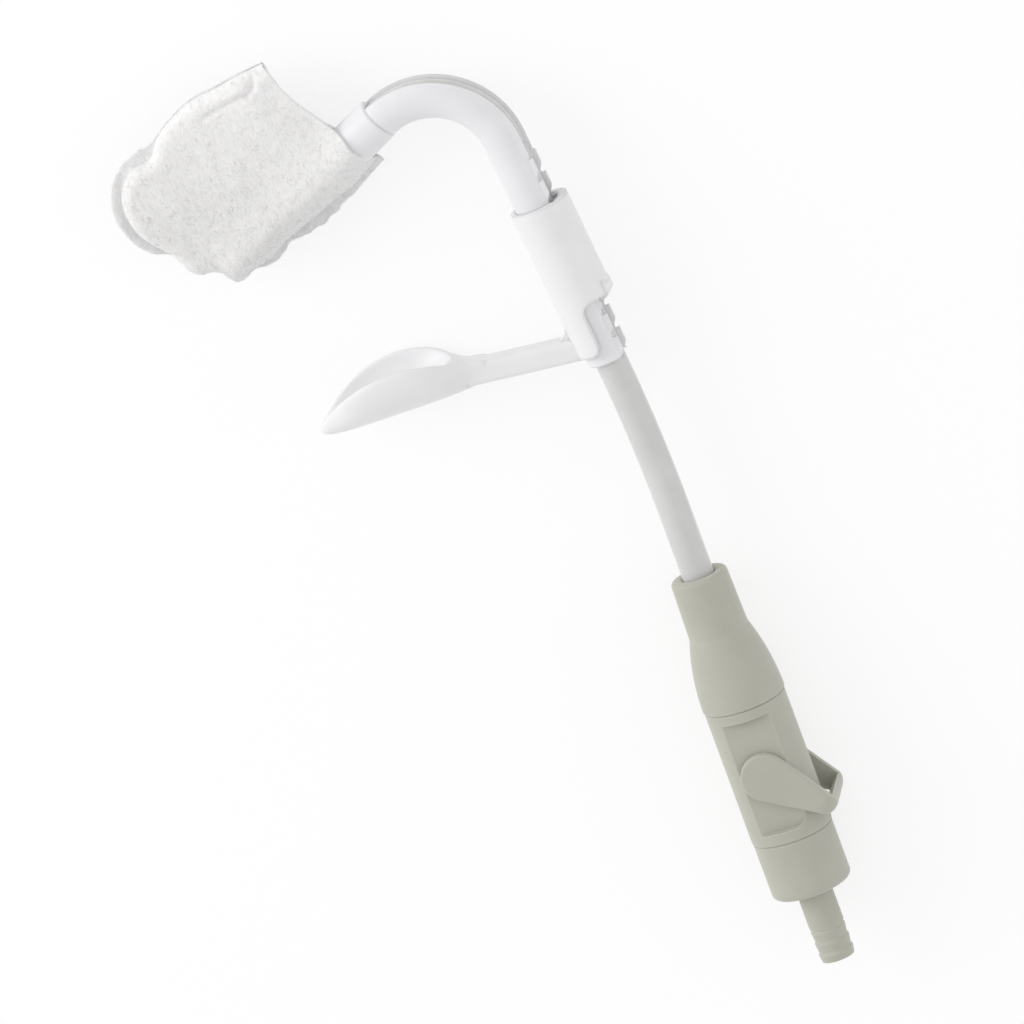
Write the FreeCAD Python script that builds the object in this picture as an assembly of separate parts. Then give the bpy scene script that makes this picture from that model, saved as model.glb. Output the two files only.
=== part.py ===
import FreeCAD, Part
import math
import os

# Saliva ejector with a tongue retractor, plugged into a suction valve.
# Millimetres, +Z up, the hook lies flat in the XY plane.
# Origin: centre of the shoulder where the suction hose stops on its barb.
# +Y runs along the valve to its nose, and the hook bends towards -X.

# Suction tube
TUBE_OD = 6.5
TUBE_ID = 4.6
TUBE_FIT = 0.05
# cutters pass this far beyond the face that they open
OVERCUT = 1.0

# Hose barb and tail cap
BARB_LENGTH = 15.4
BARB_R = 3.6
BARB_PLAIN = 8.2
BARB_TIP_DROP = 0.25
BARB_RIDGES = 3
BARB_RIDGE_H = 0.25
# where a ridge peaks and where its back ends, as shares of its length from its upper end
BARB_CREST = 0.35
BARB_VALLEY = 0.15
BARB_BORE_R = 2.3
CAP_LENGTH = 12.3
CAP_R = 8.25
CAP_FILLET = 1.25
CAP_BORE_R = 3.6
SEAM_CHAMFER = 0.3

# Valve body
BODY_LENGTH = 28.9
BODY_R = 8.4
WATERWAY_R = 2.8
FLAT_Z = 6.76
FLAT_TAIL_MARGIN = 2.5
FLAT_NOSE_MARGIN = 2.2
FLAT_CORNER_R = 2.6
SPIGOT_R = 5.6
SPIGOT_LENGTH = 5.0
SPIGOT_FIT = 0.05
SEAL_SECTION_R = 0.6
SEAL_SIDE_GAP = 0.15

# Nose piece
NOSE_FLARE = 15.3
NOSE_STRAIGHT = 12.3
NOSE_FLARE_R = 8.6
NOSE_WAIST_R = 6.15
NOSE_TIP_R = 5.85
NOSE_RIM_FILLET = 0.9
NOSE_SEAL_DEPTH = 7.0
TUBE_INSERTION = 22.0

# Lever and its spool, turning about Z at the middle of the body
SPOOL_R = 4.5
SPOOL_FIT = 0.05
SPOOL_END_GAP = 0.06
TENON_SIDE = 4.2
TENON_LENGTH = 1.25
TENON_FIT = 0.05
LEVER_FLAT_GAP = 0.2
LEVER_ARM_T = 1.75
LEVER_BOSS_R = 4.9
LEVER_TIP_R = 2.0
LEVER_BRIDGE_T = 1.9
LEVER_BODY_GAP = 0.3
LEVER_REST_DEG = 47.5
LEVER_EDGE_FILLET = 0.5
LEVER_CORNER_R = 3.4

# Route of the tube in the plane of the hook
BEND_FROM_NOSE = 30.3
SHANK_LEAN_DEG = 5.2
BEND_TANGENT = 16.5
CARRIER_FROM_BEND = 17.9
SHANK_LENGTH = 49.1
ARCH_R = 15.5
ARCH_TURN_DEG = 112.4
SOCKET_SEAT = 7.0

# Retractor frame: channel, ratchet rack, socket, duct and tongue blade
CHANNEL_R = 4.5
CHANNEL_FIT = 0.15
SLOT_HALF = 2.7
RACK_TEETH = 9
RACK_PITCH = 5.03
RACK_FIRST_TOP = 4.35
TOOTH_TIP_X = 3.9
TOOTH_ROOT_X = 3.1
TOOTH_FLAT = 3.0
TOOTH_SLOPE = 1.3
TOOTH_WIDTH = 0.8
TOOTH_SINK = 0.4
CHANNEL_END_R = 1.2
SOCKET_R = 4.7
SOCKET_LENGTH = 8.5
SOCKET_ROUND = 0.6
DUCT_R = 3.8
DUCT_BORE_R = 2.3
DUCT_LENGTH = 42.5
DUCT_HOLES = 4
DUCT_HOLE_R = 1.1
DUCT_HOLE_PITCH = 7.5
BLADE_START = 10.0
BLADE_LENGTH = 36.0
BLADE_WIDTH = 25.0
BLADE_T = 2.0
BLADE_CORNER_R = 10.0
# corner near the arch as a share of the far ones, and edge rounding as a share of the thickness
BLADE_NEAR_SHARE = 0.6
BLADE_EDGE_SHARE = 0.45

# Chin slider: sleeve with a pawl, arm and chin cup
SLEEVE_R = 6.13
SLEEVE_OFFSET = 0.5
SLEEVE_BOTTOM = 2.4
SLEEVE_LENGTH = 32.4
SLEEVE_ROUND_FROM = 13.1
SLIDE_FIT = 0.05
RACK_CLEARANCE = 0.12
CUT_X = 0.15
CUT_TOP_R = 2.4
CUT_FOOT_R = 2.2
PAWL_NUB = 0.3
PAWL_GAP = 0.08
PAWL_DROP = 0.9
PAWL_T = 1.3
PAWL_NUB_RISE = 1.5
ARM_ROOT_Y = 3.5
ARM_RISE_DEG = 9.6
ARM_DEPTH = 4.8
ARM_WIDTH = 5.2
ARM_EDGE_R = 1.1
ARM_FILLET_R = 3.2
ARM_FILLET_SINK = 0.2
ARM_REACH = 28.0
CUP_RIM_T = 1.3
CUP_RIM_LAP = 0.6
CUP_RIM_ROUND = 0.55
# distance along the arm, half width, rim height and keel height from the arm's middle line,
# and depth of the dish below the rim, which starts and ends a little above it
CUP_STATIONS = [
    (23.0, 2.2, 2.0, -2.0, None),
    (26.0, 2.95, 2.6, -2.7, None),
    (29.5, 4.1, 3.2, -3.3, -0.3),
    (33.5, 6.6, 4.7, -3.8, 3.4),
    (38.5, 8.1, 5.5, -4.3, 6.7),
    (43.5, 8.5, 5.2, -4.8, 7.0),
    (48.5, 7.9, 3.8, -5.3, 5.7),
    (52.7, 6.4, 1.7, -5.7, 3.6),
    (56.0, 4.0, -0.7, -5.9, 1.6),
    (58.2, 2.2, -2.8, -5.7, -0.2),
    (59.2, 1.0, -3.7, -5.1, None),
]

# Fleece pouch over the blade and the duct
POUCH_MOUTH = 6.6
POUCH_T = 7.0
POUCH_DUCT_WALL = 1.2
POUCH_FIT = 0.3
POUCH_EDGE = 6.5
POUCH_SKEW = 1.6
# points round the outline: shares of the near side, of the far side and of the length
POUCH_ROUND = [
    (1.09, 0.0, 0.40),
    (0.91, 0.0, 0.62),
    (0.35, 0.0, 0.86),
    (0.0, 0.25, 0.95),
    (0.0, 0.62, 1.01),
    (0.0, 0.91, 0.94),
    (0.0, 1.0, 0.76),
    (0.0, 0.946, 0.45),
]
POUCH_EDGE_SHARE = 0.35
POUCH_CLOSED_CORNER = 5.0
POUCH_TAPER = 5.4
POUCH_MOUTH_SAG = 1.2
# margins of the fleece beyond the blade's upper side and its far end
POUCH_SIDE_MARGIN = 4.8
POUCH_END_MARGIN = 6.0

TUBE_R = TUBE_OD / 2
TUBE_BORE_R = TUBE_ID / 2
SEAT_R = TUBE_R + TUBE_FIT
CAP_TOP_Y = CAP_LENGTH
BODY_TOP_Y = CAP_TOP_Y + BODY_LENGTH
NOSE_WAIST_Y = BODY_TOP_Y + NOSE_FLARE
NOSE_TIP_Y = NOSE_WAIST_Y + NOSE_STRAIGHT
LEVER_Y = CAP_TOP_Y + BODY_LENGTH / 2
TUBE_END_Y = NOSE_TIP_Y - TUBE_INSERTION
LEVER_IN_Z = FLAT_Z + LEVER_FLAT_GAP
LEVER_OUT_Z = LEVER_IN_Z + LEVER_ARM_T
Z_AXIS = FreeCAD.Vector(0, 0, 1)


def vec(x, y, z=0.0):
    return FreeCAD.Vector(x, y, z)


def frame_at(point, heading):
    # local y runs along the heading, local x lies to its right, z stays up
    return FreeCAD.Placement(point, FreeCAD.Rotation(Z_AXIS, heading - 90.0))


def along(point, heading, length):
    angle = math.radians(heading)
    return point + vec(length * math.cos(angle), length * math.sin(angle))


def placed(shape, frame):
    moved = shape.copy()
    moved.Placement = frame.multiply(moved.Placement)
    return moved


def rod(radius, y0, y1, x=0.0, z=0.0):
    return Part.makeCylinder(radius, y1 - y0, vec(x, y0, z), vec(0, 1, 0))


def pin_z(radius, z0, z1, x=0.0, y=0.0):
    return Part.makeCylinder(radius, z1 - z0, vec(x, y, z0), Z_AXIS)


def box(x0, x1, y0, y1, z0, z1):
    return Part.makeBox(x1 - x0, y1 - y0, z1 - z0, vec(x0, y0, z0))


def ring(radius_mid, section, y):
    return Part.makeTorus(radius_mid, section, vec(0, y, 0), vec(0, 1, 0))


def prism(edges, z0, z1):
    wire = Part.Wire(Part.__sortEdges__(edges))
    face = Part.Face(wire)
    face.translate(vec(0, 0, z0))
    return face.extrude(vec(0, 0, z1 - z0))


def polygon_edges(points):
    closed = points + [points[0]]
    return [Part.LineSegment(a, b).toShape() for a, b in zip(closed, closed[1:]) if (b - a).Length > 1e-6]


def line(a, b):
    return Part.LineSegment(a, b).toShape()


def arc(a, middle, b):
    return Part.Arc(a, middle, b).toShape()


def revolve_y(edges):
    # profile drawn in the XY plane with x as the radius, turned about the Y axis
    face = Part.Face(Part.Wire(Part.__sortEdges__(edges)))
    return face.revolve(vec(0, 0, 0), vec(0, 1, 0), 360)


# Route: each stretch starts at a point with a heading
LEAN_HEADING = 90.0 + SHANK_LEAN_DEG
DUCT_HEADING = LEAN_HEADING + ARCH_TURN_DEG
BEND_POINT = vec(0, NOSE_TIP_Y + BEND_FROM_NOSE)
CARRIER_END = along(BEND_POINT, LEAN_HEADING, CARRIER_FROM_BEND)
ARCH_START = along(CARRIER_END, LEAN_HEADING, SHANK_LENGTH)
ARCH_CENTRE = along(ARCH_START, LEAN_HEADING + 90.0, ARCH_R)
ARCH_END = along(ARCH_CENTRE, DUCT_HEADING - 90.0, ARCH_R)
SHANK_FRAME = frame_at(CARRIER_END, LEAN_HEADING)
DUCT_FRAME = frame_at(ARCH_END, DUCT_HEADING)


def section_face(frame, radius):
    circle = Part.makeCircle(radius, vec(0, 0, 0), vec(0, 1, 0))
    return placed(Part.Face(Part.Wire(circle)), frame)


def turned(face, centre, degrees):
    return face.revolve(centre, Z_AXIS, degrees)


def route_solid(radius, start_cut=0.0):
    # one round bar of the given radius along the whole route of the tube
    bend_r = BEND_TANGENT / math.tan(math.radians(SHANK_LEAN_DEG / 2))
    bend_start = BEND_POINT - vec(0, BEND_TANGENT)
    bend_end = along(BEND_POINT, LEAN_HEADING, BEND_TANGENT)
    bend_centre = bend_start - vec(bend_r, 0)
    lower = rod(radius, TUBE_END_Y - start_cut, bend_start.y)
    bend = turned(section_face(frame_at(bend_start, 90.0), radius), bend_centre, SHANK_LEAN_DEG)
    shank_run = (ARCH_START - bend_end).Length
    shank = placed(rod(radius, 0, shank_run), frame_at(bend_end, LEAN_HEADING))
    arch = turned(section_face(frame_at(ARCH_START, LEAN_HEADING), radius), ARCH_CENTRE, ARCH_TURN_DEG)
    seat = placed(rod(radius, 0, SOCKET_SEAT + start_cut), DUCT_FRAME)
    return lower.multiFuse([bend, shank, arch, seat]).removeSplitter()


def make_suction_tube():
    return route_solid(TUBE_R).cut(route_solid(TUBE_BORE_R, OVERCUT))


def channel_face():
    outer = Part.Face(Part.Wire(Part.makeCircle(CHANNEL_R, vec(0, 0, 0), vec(0, 1, 0))))
    bore = Part.Face(Part.Wire(Part.makeCircle(TUBE_R + CHANNEL_FIT, vec(0, 0, 0), vec(0, 1, 0))))
    reach = 2 * CHANNEL_R
    half = SLOT_HALF
    corners = [vec(0, 0, -half), vec(reach, 0, -half), vec(reach, 0, half), vec(0, 0, half)]
    slot = Part.Face(Part.Wire(polygon_edges(corners)))
    return outer.cut(bore).cut(slot).Faces[0]


def rack_tooth(top):
    foot = top - TOOTH_FLAT
    heel = foot - TOOTH_SLOPE
    inner = TOOTH_ROOT_X - TOOTH_SINK
    tip = TOOTH_TIP_X
    points = [vec(inner, top), vec(tip, top), vec(tip, foot), vec(TOOTH_ROOT_X, heel), vec(inner, heel)]
    near = prism(polygon_edges(points), SLOT_HALF, SLOT_HALF + TOOTH_WIDTH)
    far = prism(polygon_edges(points), -SLOT_HALF - TOOTH_WIDTH, -SLOT_HALF)
    return [near, far]


def make_shank():
    shank = channel_face().extrude(vec(0, SHANK_LENGTH, 0))
    rack_top = RACK_FIRST_TOP + RACK_PITCH * (RACK_TEETH - 1)
    rack_foot = RACK_FIRST_TOP - TOOTH_FLAT - TOOTH_SLOPE
    roots = box(TOOTH_ROOT_X, CHANNEL_R + OVERCUT, rack_foot, rack_top, -CHANNEL_R, CHANNEL_R)
    shank = shank.cut(roots)
    teeth = []
    for index in range(RACK_TEETH):
        teeth += rack_tooth(RACK_FIRST_TOP + RACK_PITCH * index)
    shank = shank.multiFuse(teeth)
    end_r = CHANNEL_END_R
    corner = box(-CHANNEL_R - OVERCUT, -CHANNEL_R + end_r, -OVERCUT, end_r, -CHANNEL_R, CHANNEL_R)
    keep = pin_z(end_r, -CHANNEL_R, CHANNEL_R, end_r - CHANNEL_R, end_r)
    return shank.cut(corner.cut(keep))


def make_socket():
    outer = rod(SOCKET_R, 0, SOCKET_LENGTH)
    rims = [e for e in outer.Edges if isinstance(e.Curve, Part.Circle)]
    outer = outer.makeFillet(SOCKET_ROUND, rims)
    duct = rod(DUCT_R, SOCKET_LENGTH - SOCKET_ROUND, DUCT_LENGTH - DUCT_R)
    dome = Part.makeSphere(DUCT_R, vec(0, DUCT_LENGTH - DUCT_R, 0))
    return outer.multiFuse([duct, dome])


def blade_outline(margin=0.0):
    # flat plate beside the duct, square at the arch and round at the far corners
    x0 = -margin
    x1 = BLADE_WIDTH + margin
    y0 = BLADE_START - margin
    y1 = BLADE_START + BLADE_LENGTH + margin
    r = BLADE_CORNER_R
    c = r * (1 - math.sqrt(0.5))
    near = BLADE_NEAR_SHARE * r
    n = near * (1 - math.sqrt(0.5))
    return [
        line(vec(x0, y0), vec(x1 - near, y0)),
        arc(vec(x1 - near, y0), vec(x1 - n, y0 + n), vec(x1, y0 + near)),
        line(vec(x1, y0 + near), vec(x1, y1 - r)),
        arc(vec(x1, y1 - r), vec(x1 - c, y1 - c), vec(x1 - r, y1)),
        line(vec(x1 - r, y1), vec(x0 + r, y1)),
        arc(vec(x0 + r, y1), vec(x0 + c, y1 - c), vec(x0, y1 - r)),
        line(vec(x0, y1 - r), vec(x0, y0)),
    ]


def make_retractor_frame():
    shank = placed(make_shank(), SHANK_FRAME)
    arch = turned(placed(channel_face(), frame_at(ARCH_START, LEAN_HEADING)), ARCH_CENTRE, ARCH_TURN_DEG)
    blade = prism(blade_outline(), -BLADE_T / 2, BLADE_T / 2)
    flat_edges = [e for e in blade.Edges if e.BoundBox.ZLength < 1e-6]
    blade = blade.makeFillet(BLADE_EDGE_SHARE * BLADE_T, flat_edges)
    head = make_socket().fuse(blade)
    head = head.cut(rod(SEAT_R, -OVERCUT, SOCKET_SEAT + TUBE_FIT))
    head = head.cut(rod(DUCT_BORE_R, SOCKET_SEAT, DUCT_LENGTH - DUCT_R))
    for index in range(DUCT_HOLES):
        y = BLADE_START + DUCT_HOLE_PITCH * (index + 0.5)
        head = head.cut(pin_z(DUCT_HOLE_R, -DUCT_R - OVERCUT, DUCT_R + OVERCUT, 0, y))
    head = placed(head, DUCT_FRAME)
    return shank.multiFuse([arch, head]).removeSplitter()


def make_sleeve():
    top = SLEEVE_BOTTOM + SLEEVE_LENGTH
    sleeve = rod(SLEEVE_R, SLEEVE_BOTTOM, top, SLEEVE_OFFSET)
    wide = 2 * SLEEVE_R
    y1 = SLEEVE_ROUND_FROM
    x0 = CUT_X
    k = CUT_TOP_R * (1 - math.sqrt(0.5))
    f = CUT_FOOT_R
    below = SLEEVE_BOTTOM - OVERCUT
    foot_mid = vec(x0 - f * (1 - math.sqrt(0.5)), SLEEVE_BOTTOM + f * (1 - math.sqrt(0.5)))
    edges = [
        line(vec(wide, y1), vec(x0 + CUT_TOP_R, y1)),
        arc(vec(x0 + CUT_TOP_R, y1), vec(x0 + k, y1 - k), vec(x0, y1 - CUT_TOP_R)),
        line(vec(x0, y1 - CUT_TOP_R), vec(x0, SLEEVE_BOTTOM + f)),
        arc(vec(x0, SLEEVE_BOTTOM + f), foot_mid, vec(x0 - f, SLEEVE_BOTTOM)),
        line(vec(x0 - f, SLEEVE_BOTTOM), vec(x0 - f, below)),
        line(vec(x0 - f, below), vec(wide, below)),
        line(vec(wide, below), vec(wide, y1)),
    ]
    return sleeve.cut(prism(edges, -wide, wide))


def sleeve_bore():
    bottom = SLEEVE_BOTTOM - ARM_DEPTH
    top = SLEEVE_BOTTOM + SLEEVE_LENGTH + OVERCUT
    bore = rod(CHANNEL_R + SLIDE_FIT, bottom, top)
    half = SLOT_HALF + TOOTH_WIDTH + RACK_CLEARANCE
    relief = box(0, TOOTH_TIP_X + RACK_CLEARANCE, bottom, top, -half, half)
    return bore.fuse(relief)


def make_pawl():
    # the sleeve's outer wall ends in a nub, and its lip bends in over the rack
    half = SLOT_HALF + TOOTH_WIDTH
    tip_x = TOOTH_TIP_X + PAWL_GAP
    crown_x = SLEEVE_OFFSET + SLEEVE_R
    foot_y = SLEEVE_ROUND_FROM - PAWL_DROP
    nub_y = foot_y + PAWL_NUB_RISE
    points = [
        vec(crown_x - PAWL_T, nub_y + 2 * PAWL_T),
        vec(crown_x, nub_y + PAWL_T),
        vec(crown_x + PAWL_NUB, nub_y),
        vec(crown_x + PAWL_NUB, nub_y - PAWL_NUB),
        vec(crown_x - PAWL_T, foot_y + PAWL_NUB),
        vec(tip_x, foot_y),
        vec(tip_x, foot_y + PAWL_T),
        vec(crown_x - 2 * PAWL_T, foot_y + 2 * PAWL_T),
    ]
    nub_round = rod(SLEEVE_R + PAWL_NUB, 0, SLEEVE_BOTTOM + SLEEVE_LENGTH, SLEEVE_OFFSET)
    return prism(polygon_edges(points), -half, half).common(nub_round)


def cup_section(station, half, rim, keel):
    # half ellipse under a straight rim line, drawn across the arm at the station
    depth = rim - keel
    centre = vec(rim, station, 0)
    side = vec(rim, station, half)
    low = vec(keel, station, 0)
    if half > depth:
        curve = Part.Ellipse(side, low, centre)
    else:
        curve = Part.Ellipse(low, side, centre)
    start = curve.parameter(vec(rim, station, -half))
    middle = curve.parameter(low)
    end = curve.parameter(side)
    full = 2 * math.pi
    span = (end - start) % full
    if (middle - start) % full > span:
        start, end = end, start
        span = (end - start) % full
    edge = Part.ArcOfEllipse(curve, start, start + span).toShape()
    ends = [v.Point for v in (edge.Vertexes[0], edge.Vertexes[-1])]
    return Part.Wire([edge, line(ends[1], ends[0])])


def make_cup():
    # boat-shaped hull with a dish that deepens towards its middle
    hull = []
    dish = []
    for station, half, rim, keel, depth in CUP_STATIONS:
        hull.append(cup_section(station, half, rim, keel))
        if depth is not None:
            dish.append(cup_section(station, half - CUP_RIM_T, rim + CUP_RIM_LAP, rim - depth))
    cup = Part.makeLoft(hull, True).cut(Part.makeLoft(dish, True))
    reach = CUP_STATIONS[-1][0] - CUP_STATIONS[0][0]
    rims = [e for e in cup.Edges if e.BoundBox.YLength > reach / 2]
    return cup.makeFillet(CUP_RIM_ROUND, rims)


def make_arm():
    half = ARM_DEPTH / 2
    bar = box(-half, half, 0, ARM_REACH, -ARM_WIDTH / 2, ARM_WIDTH / 2)
    return bar.makeFillet(ARM_EDGE_R, [e for e in bar.Edges if e.BoundBox.YLength > ARM_REACH / 2])


def arm_fillet():
    # web that rounds the inner corner between the sleeve and the arm
    rise = math.radians(ARM_RISE_DEG)
    r = ARM_FILLET_R
    x = SLEEVE_OFFSET - SLEEVE_R + ARM_FILLET_SINK
    y = ARM_ROOT_Y - x * math.tan(rise) + ARM_DEPTH / 2 / math.cos(rise) - ARM_FILLET_SINK
    half = ARM_WIDTH / 2 - ARM_EDGE_R
    corner = vec(x, y)
    up = vec(x, y + r)
    out = corner + vec(-math.cos(rise), math.sin(rise)) * r
    inner = corner + (up + out - corner * 2) * (1 - math.sqrt(0.5))
    root = x + SLEEVE_R - CHANNEL_R
    edges = [
        arc(up, inner, out),
        line(out, vec(root, y - ARM_DEPTH / 2)),
        line(vec(root, y - ARM_DEPTH / 2), vec(root, y + r)),
        line(vec(root, y + r), up),
    ]
    return prism(edges, -half, half)


def make_chin_slider():
    arm_frame = frame_at(vec(0, ARM_ROOT_Y), 180.0 - ARM_RISE_DEG)
    arm = placed(make_arm(), arm_frame)
    cup = placed(make_cup(), arm_frame)
    body = make_sleeve().multiFuse([make_pawl(), arm_fillet(), arm, cup])
    return placed(body.cut(sleeve_bore()).removeSplitter(), SHANK_FRAME)


def pouch_outline():
    # x across the pouch from the duct's side, y from the arch to the far end
    low = -POUCH_EDGE
    high = BLADE_WIDTH + POUCH_SIDE_MARGIN
    end = BLADE_START + BLADE_LENGTH + POUCH_END_MARGIN
    points = [vec(low, POUCH_MOUTH)]
    points += [vec(a * low + b * high, c * end) for a, b, c in POUCH_ROUND]
    points.append(vec(high - POUCH_TAPER, POUCH_MOUTH + POUCH_SKEW))
    curve = Part.BSplineCurve()
    curve.interpolate(points)
    middle = (points[-1] + points[0]) / 2 + vec(0, POUCH_MOUTH_SAG)
    return [curve.toShape(), arc(points[-1], middle, points[0])]


def make_fleece_pouch():
    half = POUCH_T / 2
    wide = DUCT_R + POUCH_DUCT_WALL
    outline = pouch_outline()
    slab = prism(outline, -half, half)
    end = DUCT_LENGTH + POUCH_DUCT_WALL - wide
    sock = rod(wide, POUCH_MOUTH, end).fuse(Part.makeSphere(wide, vec(0, end, 0)))
    reach = BLADE_START + BLADE_LENGTH + BLADE_WIDTH
    sock = sock.common(box(-wide, wide, POUCH_MOUTH, reach, -wide, wide))
    slab = slab.makeFillet(POUCH_EDGE_SHARE * POUCH_T, [slab.Edges[i] for i in round_edges(slab)])
    pouch = slab.fuse(sock)
    gap = POUCH_FIT
    pocket = prism(blade_outline(gap), -BLADE_T / 2 - gap, BLADE_T / 2 + gap)
    duct = rod(DUCT_R + gap, 0, DUCT_LENGTH - DUCT_R)
    dome = Part.makeSphere(DUCT_R + gap, vec(0, DUCT_LENGTH - DUCT_R, 0))
    socket = rod(SOCKET_R + gap, 0, SOCKET_LENGTH + gap)
    open_to = BLADE_WIDTH - POUCH_CLOSED_CORNER
    mouth_gap = box(0, open_to, 0, BLADE_START + OVERCUT, -BLADE_T / 2 - gap, BLADE_T / 2 + gap)
    return placed(pouch.cut(pocket.multiFuse([duct, dome, socket, mouth_gap])), DUCT_FRAME)


def round_edges(slab):
    # the long curved edges of the two faces, not those at the mouth
    chosen = []
    for index, edge in enumerate(slab.Edges):
        if isinstance(edge.Curve, Part.BSplineCurve):
            chosen.append(index)
    return chosen


def flat_recess(side):
    # side 1 is the upper flat and -1 the lower one; one corner at the tail is rounded
    y0 = CAP_TOP_Y + FLAT_TAIL_MARGIN
    y1 = BODY_TOP_Y - FLAT_NOSE_MARGIN
    x1 = math.sqrt(BODY_R ** 2 - FLAT_Z ** 2)
    far = BODY_R + OVERCUT
    r = FLAT_CORNER_R
    k = r * (1 - math.sqrt(0.5))
    edges = [
        line(vec(-far, y0), vec(x1 - r, y0)),
        arc(vec(x1 - r, y0), vec(x1 - k, y0 + k), vec(x1, y0 + r)),
        line(vec(x1, y0 + r), vec(far, y0 + r)),
        line(vec(far, y0 + r), vec(far, y1)),
        line(vec(far, y1), vec(-far, y1)),
        line(vec(-far, y1), vec(-far, y0)),
    ]
    z0, z1 = sorted([side * FLAT_Z, side * far])
    return prism(edges, z0, z1)


def make_valve_body():
    body = rod(BODY_R, CAP_TOP_Y, BODY_TOP_Y)
    rims = [e for e in body.Edges if isinstance(e.Curve, Part.Circle)]
    body = body.makeChamfer(SEAM_CHAMFER, rims)
    body = body.cut(flat_recess(1)).cut(flat_recess(-1))
    socket_r = SPIGOT_R + SPIGOT_FIT
    depth = SPIGOT_LENGTH + SPIGOT_FIT
    body = body.cut(rod(socket_r, CAP_TOP_Y - OVERCUT, CAP_TOP_Y + depth))
    body = body.cut(rod(socket_r, BODY_TOP_Y - depth, BODY_TOP_Y + OVERCUT))
    body = body.cut(rod(WATERWAY_R, CAP_TOP_Y, BODY_TOP_Y))
    return body.cut(pin_z(SPOOL_R + SPOOL_FIT, -BODY_R, BODY_R, 0, LEVER_Y))


def make_tail_cap():
    step = (BARB_LENGTH - BARB_PLAIN) / BARB_RIDGES
    tip_r = BARB_R - BARB_TIP_DROP
    points = [vec(BARB_BORE_R, -BARB_LENGTH), vec(tip_r, -BARB_LENGTH)]
    for index in range(BARB_RIDGES):
        y = -BARB_LENGTH + step * (index + 1)
        points.append(vec(BARB_R, y - BARB_CREST * step))
        points.append(vec(BARB_R - BARB_RIDGE_H, y - BARB_VALLEY * step))
    points += [vec(BARB_R, -BARB_PLAIN), vec(BARB_R, 0), vec(CAP_R, 0)]
    points += [vec(CAP_R, CAP_LENGTH), vec(SPIGOT_R, CAP_LENGTH)]
    points += [vec(SPIGOT_R, CAP_LENGTH + SPIGOT_LENGTH), vec(CAP_BORE_R, CAP_LENGTH + SPIGOT_LENGTH)]
    points += [vec(CAP_BORE_R, CAP_LENGTH / 2), vec(BARB_BORE_R, CAP_LENGTH / 2 - CAP_BORE_R + BARB_BORE_R)]
    tail = revolve_y(polygon_edges(points))
    shoulder = [e for e in tail.Edges if on_circle(e, CAP_R, 0)]
    tail = tail.makeFillet(CAP_FILLET, shoulder)
    seam = [e for e in tail.Edges if on_circle(e, CAP_R, CAP_LENGTH)]
    tail = tail.makeChamfer(SEAM_CHAMFER, seam)
    return tail.cut(seal_groove(tail_seal_y(), SPIGOT_R - 2 * SEAL_SECTION_R, SPIGOT_R + OVERCUT))


def on_circle(edge, radius, y):
    if not isinstance(edge.Curve, Part.Circle):
        return False
    return abs(edge.Curve.Radius - radius) < 1e-4 and abs(edge.Curve.Center.y - y) < 1e-4


def seal_groove(y, inner_r, outer_r):
    half = SEAL_SECTION_R + SEAL_SIDE_GAP
    return rod(outer_r, y - half, y + half).cut(rod(inner_r, y - half, y + half))


def tail_seal_y():
    return CAP_LENGTH + SPIGOT_LENGTH / 2


def nose_seal_y():
    return NOSE_TIP_Y - NOSE_SEAL_DEPTH


def make_tail_seal():
    return ring(SPIGOT_R - SEAL_SECTION_R, SEAL_SECTION_R, tail_seal_y())


def make_nose_seal():
    return ring(SEAT_R + SEAL_SECTION_R, SEAL_SECTION_R, nose_seal_y())


def make_nose_piece():
    # long convex flare from the seam down to the waist, then the straight mouth
    drop = NOSE_FLARE_R - NOSE_WAIST_R
    flare_r = (NOSE_FLARE ** 2 + drop ** 2) / (2 * drop)
    mid_y = NOSE_FLARE / 2
    mid_r = NOSE_FLARE_R - flare_r + math.sqrt(flare_r ** 2 - mid_y ** 2)
    low = BODY_TOP_Y - SPIGOT_LENGTH
    stop = TUBE_END_Y - TUBE_FIT
    a = vec(NOSE_FLARE_R, BODY_TOP_Y)
    b = vec(mid_r, BODY_TOP_Y + mid_y)
    c = vec(NOSE_WAIST_R, NOSE_WAIST_Y)
    edges = [
        arc(a, b, c),
        line(c, vec(NOSE_TIP_R, NOSE_TIP_Y)),
        line(vec(NOSE_TIP_R, NOSE_TIP_Y), vec(SEAT_R, NOSE_TIP_Y)),
        line(vec(SEAT_R, NOSE_TIP_Y), vec(SEAT_R, stop)),
        line(vec(SEAT_R, stop), vec(WATERWAY_R, stop)),
        line(vec(WATERWAY_R, stop), vec(WATERWAY_R, low)),
        line(vec(WATERWAY_R, low), vec(SPIGOT_R, low)),
        line(vec(SPIGOT_R, low), vec(SPIGOT_R, BODY_TOP_Y)),
        line(vec(SPIGOT_R, BODY_TOP_Y), a),
    ]
    nose = revolve_y(edges)
    rim = [e for e in nose.Edges if on_circle(e, NOSE_TIP_R, NOSE_TIP_Y)]
    mouth = [e for e in nose.Edges if on_circle(e, SEAT_R, NOSE_TIP_Y)]
    nose = nose.makeFillet(NOSE_RIM_FILLET, rim + mouth)
    seam = [e for e in nose.Edges if on_circle(e, NOSE_FLARE_R, BODY_TOP_Y)]
    nose = nose.makeChamfer(SEAM_CHAMFER, seam)
    return nose.cut(seal_groove(nose_seal_y(), SEAT_R - OVERCUT, SEAT_R + 2 * SEAL_SECTION_R))


def spool_seal_z():
    return (WATERWAY_R + FLAT_Z) / 2


def make_spool_seal(side):
    seal = Part.makeTorus(SPOOL_R - SEAL_SECTION_R, SEAL_SECTION_R)
    seal.translate(vec(0, LEVER_Y, side * spool_seal_z()))
    return seal


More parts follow.
